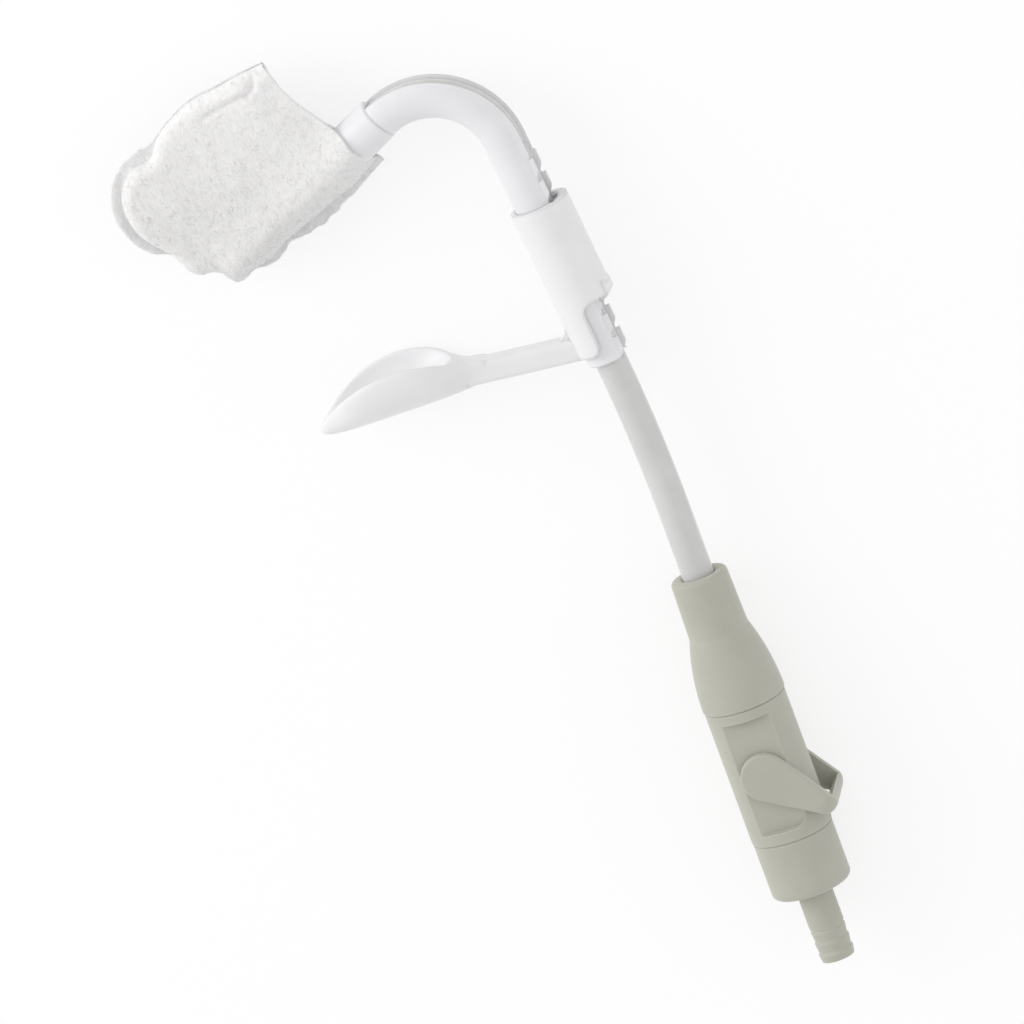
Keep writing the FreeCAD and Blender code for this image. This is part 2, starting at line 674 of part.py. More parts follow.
def make_valve_spool():
    end_z = FLAT_Z - SPOOL_END_GAP
    spool = pin_z(SPOOL_R, -end_z, end_z, 0, LEVER_Y)
    half = TENON_SIDE / 2
    tip_z = end_z + TENON_LENGTH
    tenon = box(-half, half, -half, half, -tip_z, tip_z)
    tenon.rotate(vec(0, 0, 0), Z_AXIS, LEVER_REST_DEG - 90.0)
    tenon.translate(vec(0, LEVER_Y, 0))
    spool = spool.fuse(tenon)
    spool = spool.cut(rod(WATERWAY_R, LEVER_Y - 2 * SPOOL_R, LEVER_Y + 2 * SPOOL_R))
    width = SEAL_SECTION_R + SEAL_SIDE_GAP
    for side in (1, -1):
        z = side * spool_seal_z()
        groove = pin_z(SPOOL_R + OVERCUT, z - width, z + width, 0, LEVER_Y)
        core = pin_z(SPOOL_R - 2 * SEAL_SECTION_R, z - width, z + width, 0, LEVER_Y)
        spool = spool.cut(groove.cut(core))
    return spool


def lever_bridge_in():
    # nearest the bridge comes to the pivot, so that its corner clears the body
    rest = math.radians(LEVER_REST_DEG)
    return (BODY_R + LEVER_BODY_GAP + LEVER_TIP_R * math.cos(rest)) / math.sin(rest)


def lever_outline():
    # teardrop along -y from the boss at the origin to the tip circle
    reach = lever_bridge_in() + LEVER_BRIDGE_T - LEVER_TIP_R
    lean = math.asin((LEVER_BOSS_R - LEVER_TIP_R) / reach)
    side = vec(math.cos(lean), -math.sin(lean))
    mirror = vec(-side.x, side.y)
    tip = vec(0, -reach)
    return [
        arc(side * LEVER_BOSS_R, vec(0, LEVER_BOSS_R), mirror * LEVER_BOSS_R),
        line(mirror * LEVER_BOSS_R, tip + mirror * LEVER_TIP_R),
        arc(tip + mirror * LEVER_TIP_R, tip - vec(0, LEVER_TIP_R), tip + side * LEVER_TIP_R),
        line(tip + side * LEVER_TIP_R, side * LEVER_BOSS_R),
    ]


def lever_side_profile():
    # seen from the side, the corners where the arms meet the bridge are round
    r = LEVER_CORNER_R
    k = r * (1 - math.sqrt(0.5))
    y0 = -lever_bridge_in() - LEVER_BRIDGE_T
    y1 = 2 * LEVER_BOSS_R
    z = LEVER_OUT_Z
    x = -2 * LEVER_BOSS_R
    edges = [
        line(vec(x, y1, -z), vec(x, y1, z)),
        line(vec(x, y1, z), vec(x, y0 + r, z)),
        arc(vec(x, y0 + r, z), vec(x, y0 + k, z - k), vec(x, y0, z - r)),
        line(vec(x, y0, z - r), vec(x, y0, r - z)),
        arc(vec(x, y0, r - z), vec(x, y0 + k, k - z), vec(x, y0 + r, -z)),
        line(vec(x, y0 + r, -z), vec(x, y1, -z)),
    ]
    return Part.Face(Part.Wire(edges)).extrude(vec(4 * LEVER_BOSS_R, 0, 0))


def make_lever():
    solid = prism(lever_outline(), -LEVER_OUT_Z, LEVER_OUT_Z)
    flat_edges = [e for e in solid.Edges if e.BoundBox.ZLength < 1e-6]
    solid = solid.makeFillet(LEVER_EDGE_FILLET, flat_edges).common(lever_side_profile())
    wide = 2 * LEVER_BOSS_R
    solid = solid.cut(box(-wide, wide, -lever_bridge_in(), wide, -LEVER_IN_Z, LEVER_IN_Z))
    half = TENON_SIDE / 2 + TENON_FIT
    depth = FLAT_Z - SPOOL_END_GAP + TENON_LENGTH + TENON_FIT
    solid = solid.cut(box(-half, half, -half, half, -depth, depth))
    solid.rotate(vec(0, 0, 0), Z_AXIS, LEVER_REST_DEG)
    solid.translate(vec(0, LEVER_Y, 0))
    return solid


PARTS = {
    "valve_body": make_valve_body,
    "tail_cap": make_tail_cap,
    "tail_seal": make_tail_seal,
    "nose_piece": make_nose_piece,
    "nose_seal": make_nose_seal,
    "valve_spool": make_valve_spool,
    "spool_seal_near": lambda: make_spool_seal(1),
    "spool_seal_far": lambda: make_spool_seal(-1),
    "lever": make_lever,
    "suction_tube": make_suction_tube,
    "retractor_frame": make_retractor_frame,
    "chin_slider": make_chin_slider,
    "fleece_pouch": make_fleece_pouch,
}


def main():
    os.makedirs("parts", exist_ok=True)
    for name, make in PARTS.items():
        shape = make()
        solids = shape.Solids
        if len(solids) == 1:
            shape = solids[0]
        shape.exportStep("parts/" + name + ".step")
        box_size = shape.BoundBox
        print(name, "solids", len(solids), "valid", shape.isValid(), "volume", round(shape.Volume, 1),
              "x", round(box_size.XMin, 2), round(box_size.XMax, 2),
              "y", round(box_size.YMin, 2), round(box_size.YMax, 2),
              "z", round(box_size.ZMin, 2), round(box_size.ZMax, 2))


main()
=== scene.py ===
import math

import bmesh
import bpy
import numpy as np
from bpy.props import FloatProperty, FloatVectorProperty, IntProperty, PointerProperty
from mathutils import Matrix, Vector, noise


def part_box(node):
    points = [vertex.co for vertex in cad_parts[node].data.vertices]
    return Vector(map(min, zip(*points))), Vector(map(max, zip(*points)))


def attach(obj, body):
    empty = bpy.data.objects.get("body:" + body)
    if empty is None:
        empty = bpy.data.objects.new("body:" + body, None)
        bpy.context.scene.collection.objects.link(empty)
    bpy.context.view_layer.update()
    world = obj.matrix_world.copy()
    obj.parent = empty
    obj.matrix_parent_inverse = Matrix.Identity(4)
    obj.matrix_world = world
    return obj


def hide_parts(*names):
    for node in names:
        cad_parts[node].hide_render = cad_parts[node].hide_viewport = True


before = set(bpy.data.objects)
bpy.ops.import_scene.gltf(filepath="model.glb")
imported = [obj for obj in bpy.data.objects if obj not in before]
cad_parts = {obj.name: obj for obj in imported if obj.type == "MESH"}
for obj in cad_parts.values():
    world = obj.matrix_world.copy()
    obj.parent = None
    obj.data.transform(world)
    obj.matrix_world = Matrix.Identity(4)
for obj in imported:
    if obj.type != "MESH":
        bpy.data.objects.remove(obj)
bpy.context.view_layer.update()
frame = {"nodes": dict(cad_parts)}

# Looks of a saliva ejector with a fleece pouch, plugged into a suction valve.
# Lengths are metres in the part's own frame, and the hook lies flat on the floor.

bl_info = {
    "name": "Saliva ejector looks",
    "version": (1, 0, 0),
    "blender": (4, 5, 0),
    "location": "View3D > Sidebar > Ejector",
    "description": "Finishes and soft pieces of a saliva ejector and its suction valve",
    "category": "Object",
}

MM = 0.001

# The pouch is laid out beside the duct: a runs from the arch along the duct, p to its upper side
DUCT_START = Vector((-28.689, 178.156, 0.0))
DUCT_ALONG = Vector((math.cos(math.radians(207.6)), math.sin(math.radians(207.6)), 0.0))
DUCT_ACROSS = Vector((DUCT_ALONG.y, -DUCT_ALONG.x, 0.0))

# Weld line of the pouch in mm: a, p, and how far the welded edge sticks out beyond it
WELD_LOW = [
    (6.4, -5.6, 1.2), (9.7, -6.0, 1.0), (12.6, -6.2, 1.0), (16.2, -5.9, 1.7), (19.6, -5.5, 2.4),
    (22.5, -5.3, 2.0), (26.7, -4.9, 2.1), (31.4, -4.5, 1.0), (35.5, -4.8, 1.3), (38.5, -4.4, 0.7),
    (41.2, -3.7, 0.3), (43.2, -3.7, 0.25), (45.0, -3.1, 0.25),
]
WELD_END = [
    (45.0, -3.1, 0.25), (45.5, -1.4, 0.25), (45.6, 0.3, 0.25), (46.8, 1.9, 0.25), (48.4, 2.8, 0.25),
    (49.4, 4.2, 0.25), (49.8, 6.0, 0.25), (49.7, 8.0, 0.25), (49.9, 10.3, 0.4), (50.6, 12.7, 1.4),
    (51.2, 15.1, 2.0), (51.4, 18.2, 2.1), (50.5, 21.8, 2.2), (48.9, 24.6, 2.1), (46.8, 26.6, 1.95),
]
WELD_HIGH = [
    (8.1, 24.2, 0.12), (13.7, 26.1, 0.3), (19.3, 27.7, 0.3), (22.3, 28.7, 0.3), (25.7, 29.3, 0.3),
    (30.8, 29.2, 0.3), (34.4, 28.5, 0.3), (36.7, 27.2, 2.0), (38.8, 26.8, 2.8), (41.0, 27.5, 2.2),
    (43.3, 27.7, 2.0), (46.8, 26.6, 1.95),
]
MOUTH = [
    (6.4, -5.6), (6.7, -4.2), (7.1, -2.9), (7.4, -1.2), (7.4, 0.6), (7.1, 3.0),
    (7.4, 5.2), (7.9, 8.2), (8.5, 12.2), (8.7, 17.3), (8.2, 21.2), (8.1, 24.2),
]
# Folds pressed into the front layer in mm: a, p, depth
FOLDS = [
    [
        (26.4, 26.2, 0.0), (22.4, 25.0, 0.4), (18.4, 23.9, 0.8), (15.8, 23.0, 1.05),
        (13.6, 22.4, 1.15), (12.0, 23.0, 0.75), (10.8, 24.4, 0.1),
    ],
]
# How wide the rounded upper side is at each a
SIDE_WIDTH = [
    (7.0, 4.6), (11.0, 4.6), (14.0, 4.8), (18.0, 4.4), (25.0, 3.8), (34.0, 3.0), (50.0, 2.8),
]
# Rounded low side and far end: width in mm, and how square; the upper side has only the second
LOW_ROLL = (5.2, 2.0)
END_ROLL = (3.0, 2.2)
HIGH_SQUARENESS = 2.8
# Weld in mm: its level, how much lower it lies beside the duct, and p of the duct's upper side
WELD_LEVEL = -1.1
WELD_DROP = 1.2
DUCT_SIDE = 9.0
# Changes along the pouch in mm: a where each one starts or ends, and over what length
WELD_TIP = (44.0, 8.0)
DUCT_TIP = (44.5, 5.0)
SOCKET_SIDE = (8.0, 5.0)
MOUTH_SIDE = (7.0, 9.0)
FRONT_TIP = (34.0, 18.0)
# The same across the pouch, at p, for what only its upper part has
UPPER_PART = (8.0, 5.0)
# How much flatter the front is at the tip, and the back away from the mouth, in mm
FRONT_FLATTER = 0.5
BACK_FLATTER = 0.3
# Half widths in mm of the swelling over the duct and of a pressed fold
DUCT_SPREAD = 4.6
FOLD_SPREAD = 0.75
# Groove inside the far end's weld in mm: depth, half width
END_GROOVE = (0.45, 0.55)
# Puckers along the weld in mm: pitch, how far in they start and fade
PUCKER_PITCH = 3.4
PUCKER_START = 0.35
PUCKER_FADE = 1.9
# Their height on the low side and elsewhere, and how they wander: turn, waves per mm, seed
PUCKER_HEIGHTS = (0.16, 0.07)
PUCKER_WANDER = (5.0, 0.21, 3.0)
# Slow waves of the layers: height in mm, waves per mm, seed
WAVES = [(0.20, 0.11, 11.0), (0.09, 0.33, 5.0), (0.03, 1.1, 17.0)]
# The back layer's rounding, and its share of the waves and of the puckers
BACK_POWER = 0.8
BACK_WAVES = 0.6
BACK_PUCKERS = 0.5
# Least height of the front layer over the middle of the weld, in halves of the weld
LEAST_FRONT = 0.6
# The back layer is set back between these two p in mm, over a blend; it fades along the rows
SET_BACK_SIDES = (-6.0, 24.5)
SET_BACK_BLEND = 5.0
SET_BACK_POWER = 6
# Ragged cut of the weld: share of its width, waves per mm, seed
RAGS = [(0.4, 0.45, 23.0), (0.1, 1.0, 31.0)]
# How much of the ragged cut the far end and the upper side keep, and the narrowest weld in mm
CLEAN_CUT = 0.12
NARROWEST_WELD = 0.12
# Waves of the welded edge: height for each mm of its width, waves per mm, seed
EDGE_WAVE = (0.25, 0.35, 41.0)
# They grow with the width up to this many mm
EDGE_WAVE_WIDTH = 1.5
# Rings across the weld, the share that its edge is thinner by, and how far that edge lifts in mm
WELD_RINGS = 4
EDGE_THINNING = 0.5
WELD_LIFT = 0.38
# Places along the welded edge that share one direction
EDGE_AVERAGE = 9
# Fleece thickness where it is pressed flat and in the weld, as shares of a full layer
PRESSED_WALL = 0.25
WELD_WALL = 0.22
# Steps of a smooth line: between two points, round the weld, and along a fold
POINT_STEPS = 24
LINE_STEPS = 160
FOLD_STEPS = 60
# Added to the run along the far end, and twice along the upper side, so that they stay apart
RUN_APART = 60.0
# How much the rows and the columns of the grid crowd towards the weld
ROW_CROWDING = 0.25
COLUMN_CROWDING = 0.65

# Strands of the fleece web: how each of the three sets turns, and how the strands are drawn out
WEB_TURNS = (0.3, 1.4, 2.5)
WEB_STRETCH = (1.0, 0.28, 0.6)

# Bend of a loose fibre in shares of its length, how far it leans in radians, and how sizes vary
FIBRE_BEND = (
    ("Start", (-0.5, 0.0, -0.02)), ("Middle", (0.05, 0.34, 0.09)), ("End", (0.5, 0.06, -0.02)),
)
FIBRE_LEAN = 0.16
FIBRE_SIZES = (0.55, 1.35)

# Painted shade and light on the fleece: its colour darkens slowly towards the far end and its low
# side, and lightens towards the mouth and the upper side, along this direction: from where to where
# in metres, and how much
PAINTED_SHADE_ALONG = (0.2938, 0.9049, -0.3079)
PAINTED_SHADE_FROM = 0.129
PAINTED_SHADE_TO = 0.158
PAINTED_SHADE_LOW = 0.91
PAINTED_LIGHT_HIGH = 1.05

# The photograph's right direction and the way to its camera, and the middle of the view in mm
VIEW_RIGHT = Vector((0.93877, -0.33380, -0.08535))
VIEW_TOWARDS = Vector((0.18000, 0.26393, 0.94760))
VIEW_MIDDLE = (-59.94, 74.59, 18.8)

# Lamps in metres: diameter, where they aim, and how far from there each one stands
LAMP_SIZE = 0.7
LAMP_AIM = Vector((-0.031, 0.0925, 0.0))
KEY_PLACE = Vector((-0.810, 0.444, 0.368))
FILL_PLACE = Vector((0.880, -0.180, 0.400))

# Sockets of a Mix node set to colour: both colours, result
MIX_A, MIX_B, MIX_OUT = 6, 7, 2
# Sockets of a Random Value node set to float: least, most, value
RANDOM_MIN, RANDOM_MAX, RANDOM_OUT = 2, 3, 1


class EjectorColours(bpy.types.PropertyGroup):
    valve: FloatVectorProperty(
        name="Valve plastic", description="Matt warm grey of the suction valve",
        default=(0.455, 0.448, 0.387), subtype="COLOR", min=0.0, max=1.0)
    tube: FloatVectorProperty(
        name="Tube", description="Cloudy grey of the suction tube",
        default=(0.775, 0.775, 0.765), subtype="COLOR", min=0.0, max=1.0)
    frame: FloatVectorProperty(
        name="Retractor frame", description="Cool milky white of the channel and the arch",
        default=(0.792, 0.789, 0.806), subtype="COLOR", min=0.0, max=1.0)
    slider: FloatVectorProperty(
        name="Chin slider", description="White of the sleeve, arm and chin cup",
        default=(0.815, 0.810, 0.819), subtype="COLOR", min=0.0, max=1.0)
    fleece: FloatVectorProperty(
        name="Fleece", description="White of the nonwoven fleece",
        default=(0.812, 0.804, 0.800), subtype="COLOR", min=0.0, max=1.0)
    rubber: FloatVectorProperty(
        name="Seal rubber", description="Dark rubber of the O-rings",
        default=(0.030, 0.030, 0.032), subtype="COLOR", min=0.0, max=1.0)
    floor: FloatVectorProperty(
        name="Floor", description="Plain white floor",
        default=(0.98, 0.98, 0.98), subtype="COLOR", min=0.0, max=1.0)


class PouchSizes(bpy.types.PropertyGroup):
    crown: FloatProperty(
        name="Crown", description="Height of the pouch over the blade",
        default=3.5 * MM, unit="LENGTH")
    duct_crown: FloatProperty(
        name="Crown over the duct", description="Height of the pouch over the duct",
        default=5.15 * MM, unit="LENGTH")
    mouth_crown: FloatProperty(
        name="Crown at the mouth", description="Height where the pouch slips over the blade",
        default=1.9 * MM, unit="LENGTH")
    socket_crown: FloatProperty(
        name="Crown over the socket", description="Height at the mouth, over the socket",
        default=5.8 * MM, unit="LENGTH")
    back_set: FloatProperty(
        name="Back layer set back", description="How much shorter the back layer is at the mouth",
        default=1.3 * MM, unit="LENGTH")
    wall: FloatProperty(
        name="Fleece thickness", description="Thickness of one layer of fleece",
        default=1.1 * MM, unit="LENGTH")
    weld: FloatProperty(
        name="Weld thickness", description="Thickness of both layers where they are welded",
        default=0.8 * MM, unit="LENGTH")
    rows: IntProperty(name="Rows", description="Faces along the pouch", default=150, min=10)
    columns: IntProperty(name="Columns", description="Faces across the pouch", default=120, min=10)
    fibre_length: FloatProperty(
        name="Fibre length", description="Length of a loose fibre", default=1.1 * MM, unit="LENGTH")
    fibre_thickness: FloatProperty(
        name="Fibre thickness", description="Thickness of a loose fibre",
        default=0.03 * MM, unit="LENGTH")
    fibre_count: IntProperty(
        name="Fibres", description="Loose fibres on the outside of the pouch", default=6000, min=0)
    fibre_seed: IntProperty(name="Fibre seed", description="Seed of the fibres' places", default=7)


class StageSizes(bpy.types.PropertyGroup):
    lens: FloatProperty(
        name="Lens", description="Focal length in millimetres on a 36 mm sensor", default=1600.0)
    view_width: FloatProperty(
        name="View width", description="Width of the picture at the object",
        default=203.6 * MM, unit="LENGTH")
    floor_side: FloatProperty(
        name="Floor side", description="Side of the square floor", default=6.0, unit="LENGTH")
    sky: FloatProperty(
        name="Sky", description="Strength of the even light from all round", default=0.825)
    key: FloatProperty(
        name="Key light", description="Power of the soft lamp at the upper left",
        default=4.1, unit="POWER")
    fill: FloatProperty(
        name="Fill light", description="Power of the soft lamp at the right",
        default=0.76, unit="POWER")
    shadow: FloatProperty(
        name="Floor shadow", description="How much of the floor's shading shows", default=0.24,
        subtype="FACTOR", min=0.0, max=1.0)


class EjectorLooks(bpy.types.PropertyGroup):
    colours: PointerProperty(
        type=EjectorColours, name="Colours", description="Colours of the finishes")
    pouch: PointerProperty(type=PouchSizes, name="Pouch", description="Sizes of the fleece pouch")
    stage: PointerProperty(type=StageSizes, name="Stage", description="Camera, floor and light")


def looks(context):
    return context.scene.ejector_looks


# Shader helpers

def add_node(tree, kind, x, y, **settings):
    node = tree.nodes.new(kind)
    node.location = (x, y)
    for name, value in settings.items():
        setattr(node, name, value)
    return node


def set_inputs(node, **values):
    for name, value in values.items():
        node.inputs[name.replace("_", " ")].default_value = value
    return node


def rgba(colour, gain=1.0):
    return tuple(min(1.0, c * gain) for c in colour) + (1.0,)


def new_group(name, inputs, outputs):
    tree = bpy.data.node_groups.new(name, "ShaderNodeTree")
    for label, kind, default in inputs:
        socket = tree.interface.new_socket(name=label, in_out="INPUT", socket_type=kind)
        if default is not None:
            socket.default_value = default
    for label, kind in outputs:
        tree.interface.new_socket(name=label, in_out="OUTPUT", socket_type=kind)
    return tree


def moulded_skin_group():
    """Colour, roughness and relief of a moulded plastic: grain, clouds of tone, eased edges."""
    name = "Moulded skin"
    if name in bpy.data.node_groups:
        return bpy.data.node_groups[name]
    tree = new_group(
        name,
        [
            ("Vector", "NodeSocketVector", None),
            ("Colour", "NodeSocketColor", (0.5, 0.5, 0.5, 1.0)),
            ("Cloud Tint", "NodeSocketColor", (0.5, 0.5, 0.5, 1.0)),
            ("Grain Scale", "NodeSocketFloat", 4000.0),
            ("Grain Depth", "NodeSocketFloat", 0.00002),
            ("Cloud Scale", "NodeSocketFloat", 160.0),
            ("Roughness", "NodeSocketFloat", 0.5),
            ("Roughness Spread", "NodeSocketFloat", 0.1),
            ("Rounding", "NodeSocketFloat", 0.0002),
        ],
        [
            ("Colour", "NodeSocketColor"),
            ("Roughness", "NodeSocketFloat"),
            ("Normal", "NodeSocketVector"),
        ],
    )
    source = add_node(tree, "NodeGroupInput", -900, 0)
    sink = add_node(tree, "NodeGroupOutput", 700, 0)
    link = tree.links.new
    grain = set_inputs(add_node(tree, "ShaderNodeTexNoise", -600, -250), Detail=3.0, Roughness=0.6)
    cloud = set_inputs(add_node(tree, "ShaderNodeTexNoise", -600, 200), Detail=4.0, Roughness=0.55)
    link(source.outputs["Vector"], grain.inputs["Vector"])
    link(source.outputs["Vector"], cloud.inputs["Vector"])
    link(source.outputs["Grain Scale"], grain.inputs["Scale"])
    link(source.outputs["Cloud Scale"], cloud.inputs["Scale"])
    ramp = add_node(tree, "ShaderNodeMapRange", -350, 200, clamp=True)
    set_inputs(ramp, From_Min=0.35, From_Max=0.65)
    link(cloud.outputs["Fac"], ramp.inputs["Value"])
    tint = add_node(tree, "ShaderNodeMix", -50, 200, data_type="RGBA")
    link(ramp.outputs["Result"], tint.inputs["Factor"])
    link(source.outputs["Colour"], tint.inputs[MIX_A])
    link(source.outputs["Cloud Tint"], tint.inputs[MIX_B])
    link(tint.outputs[MIX_OUT], sink.inputs["Colour"])
    spread = add_node(tree, "ShaderNodeMath", -50, 0, operation="MULTIPLY_ADD")
    centred = add_node(tree, "ShaderNodeMath", -250, 0, operation="SUBTRACT")
    centred.inputs[1].default_value = 0.5
    link(grain.outputs["Fac"], centred.inputs[0])
    link(centred.outputs[0], spread.inputs[0])
    link(source.outputs["Roughness Spread"], spread.inputs[1])
    link(source.outputs["Roughness"], spread.inputs[2])
    link(spread.outputs[0], sink.inputs["Roughness"])
    bump = add_node(tree, "ShaderNodeBump", 250, -250)
    set_inputs(bump, Strength=1.0)
    soft = add_node(tree, "ShaderNodeBevel", 0, -450, samples=4)
    link(source.outputs["Rounding"], soft.inputs["Radius"])
    link(soft.outputs["Normal"], bump.inputs["Normal"])
    link(grain.outputs["Fac"], bump.inputs["Height"])
    link(source.outputs["Grain Depth"], bump.inputs["Distance"])
    link(bump.outputs["Normal"], sink.inputs["Normal"])
    return tree


def edge_highlight_group():
    """1 along sharp edges and 0 on open faces, from how far a rounded normal turns away; it places
    the painted edge highlights.
    """
    name = "Edge mask"
    if name in bpy.data.node_groups:
        return bpy.data.node_groups[name]
    tree = new_group(
        name,
        [("Width", "NodeSocketFloat", 0.0004), ("Strength", "NodeSocketFloat", 6.0)],
        [("Mask", "NodeSocketFloat")],
    )
    source = add_node(tree, "NodeGroupInput", -700, 0)
    sink = add_node(tree, "NodeGroupOutput", 500, 0)
    link = tree.links.new
    bevel = add_node(tree, "ShaderNodeBevel", -450, 100, samples=4)
    geometry = add_node(tree, "ShaderNodeNewGeometry", -450, -100)
    dot = add_node(tree, "ShaderNodeVectorMath", -200, 0, operation="DOT_PRODUCT")
    turn = add_node(tree, "ShaderNodeMath", 0, 0, operation="SUBTRACT")
    turn.inputs[0].default_value = 1.0
    gain = add_node(tree, "ShaderNodeMath", 200, 0, operation="MULTIPLY", use_clamp=True)
    link(source.outputs["Width"], bevel.inputs["Radius"])
    link(bevel.outputs["Normal"], dot.inputs[0])
    link(geometry.outputs["Normal"], dot.inputs[1])
    link(dot.outputs["Value"], turn.inputs[1])
    link(turn.outputs[0], gain.inputs[0])
    link(source.outputs["Strength"], gain.inputs[1])
    link(gain.outputs[0], sink.inputs["Mask"])
    return tree


def start_material(name):
    material = bpy.data.materials.new(name)
    material.use_nodes = True
    tree = material.node_tree
    shader = tree.nodes["Principled BSDF"]
    coords = add_node(tree, "ShaderNodeTexCoord", -1100, 0)
    return material, tree, shader, coords


def moulded_material(
        name, colour, cloud, edge, grain, depth, rough, spread, highlight_width, rounding=0.0002):
    """A moulded plastic with its grain, its clouds of tone and a painted highlight: a lighter
    colour along its sharp edges.
    """
    material, tree, shader, coords = start_material(name)
    link = tree.links.new
    skin = add_node(tree, "ShaderNodeGroup", -700, 0)
    skin.node_tree = moulded_skin_group()
    set_inputs(
        skin, Colour=rgba(colour), Cloud_Tint=cloud, Grain_Scale=grain, Grain_Depth=depth,
        Roughness=rough, Roughness_Spread=spread, Rounding=rounding)
    link(coords.outputs["Object"], skin.inputs["Vector"])
    edges = add_node(tree, "ShaderNodeGroup", -700, 300)
    edges.node_tree = edge_highlight_group()
    set_inputs(edges, Width=highlight_width)
    # painted highlight: sharp edges take the lighter edge colour
    mix = add_node(tree, "ShaderNodeMix", -350, 200, data_type="RGBA")
    link(edges.outputs["Mask"], mix.inputs["Factor"])
    link(skin.outputs["Colour"], mix.inputs[MIX_A])
    mix.inputs[MIX_B].default_value = edge
    link(mix.outputs[MIX_OUT], shader.inputs["Base Color"])
    link(skin.outputs["Roughness"], shader.inputs["Roughness"])
    link(skin.outputs["Normal"], shader.inputs["Normal"])
    return material, shader


def put_material(node_names, material):
    for name in node_names:
        mesh = frame["nodes"][name].data
        mesh.materials.clear()
        mesh.materials.append(material)


# Fleece pouch

def pouch_point(a, p, z):
    return (DUCT_START + DUCT_ALONG * a + DUCT_ACROSS * p + Vector((0.0, 0.0, z))) * MM


def smooth_line(points, count):
    """A smooth line through the points, cut into count equal steps; extra columns follow along."""
    pts = np.array(points, float)
    padded = np.vstack([2 * pts[0] - pts[1], pts, 2 * pts[-1] - pts[-2]])
    dense = []
    for k in range(1, len(padded) - 2):
        p0, p1, p2, p3 = padded[k - 1:k + 3]
        t = np.linspace(0, 1, POINT_STEPS, endpoint=False)[:, None]
        dense.append(0.5 * (2 * p1 + (p2 - p0) * t + (2 * p0 - 5 * p1 + 4 * p2 - p3) * t ** 2
                            + (3 * p1 - p0 - 3 * p2 + p3) * t ** 3))
    dense = np.vstack(dense + [pts[-1:]])
    steps = np.linalg.norm(np.diff(dense[:, :2], axis=0), axis=1)
    run = np.concatenate([[0], np.cumsum(steps)])
    at = np.linspace(0, run[-1], count + 1)
    return np.column_stack([np.interp(at, run, dense[:, c]) for c in range(pts.shape[1])])


def distance_to(points, path):
    """Distance of each point from a path, and how far along the path its nearest place is."""
    a, b = path[:-1], path[1:]
    ab = b - a
    length = np.linalg.norm(ab, axis=1)
    run = np.concatenate([[0], np.cumsum(length)])[:-1]
    rel = points[:, None, :] - a[None]
    t = np.clip((rel * ab[None]).sum(2) / (length ** 2)[None], 0, 1)
    gap = np.linalg.norm(rel - t[..., None] * ab[None], axis=2)
    nearest = gap.argmin(1)
    rows = np.arange(len(points))
    return gap[rows, nearest], run[nearest] + t[rows, nearest] * length[nearest]


def rounded(distance, width, power):
    t = 1 - np.clip(distance / width, 0, 1)
    return (1 - t ** power) ** (1 / power)


def ease(t):
    t = np.clip(t, 0, 1)
    return t * t * (3 - 2 * t)


def rise(x, start, length):
    """0 up to the start, then an eased way up to 1."""
    return ease((x - start) / length)


def fall(x, end, length):
    """1, then an eased way down to 0 at the end."""
    return ease((end - x) / length)


def crowded(t, share):
    """Even steps from 0 to 1, drawn together towards both ends by the share."""
    return (1 - share) * t + share * (1 - np.cos(t * math.pi)) / 2


def lumps(points, scale, seed):
    return np.array([
        noise.noise(Vector((x * scale + seed, y * scale, seed * 0.37))) for x, y in points])


def pouch_grid(rows, columns):
    """Plan of the pouch: a patch spanned by the mouth, the far end and the two long sides."""
    low = smooth_line(WELD_LOW, rows)
    high = smooth_line(WELD_HIGH, rows)
    mouth = smooth_line(MOUTH, columns)
    end = smooth_line(WELD_END, columns)
    u = crowded(np.linspace(0, 1, rows + 1), ROW_CROWDING)
    v = crowded(np.linspace(0, 1, columns + 1), COLUMN_CROWDING)

    def at(line, where):
        base = np.linspace(0, 1, len(line))
        return np.column_stack([np.interp(where, base, line[:, c]) for c in range(line.shape[1])])

    low_u, high_u, mouth_v, end_v = at(low, u), at(high, u), at(mouth, v), at(end, v)
    uu, vv = u[:, None, None], v[None, :, None]
    corners = [low[0, :2], low[-1, :2], high[0, :2], high[-1, :2]]
    plan = (
        (1 - vv) * low_u[:, None, :2] + vv * high_u[:, None, :2]
        + (1 - uu) * mouth_v[None] + uu * end_v[None, :, :2]
        - (1 - uu) * (1 - vv) * corners[0] - uu * (1 - vv) * corners[1]
        - (1 - uu) * vv * corners[2] - uu * vv * corners[3]
    )
    return plan, low_u, high_u, end_v


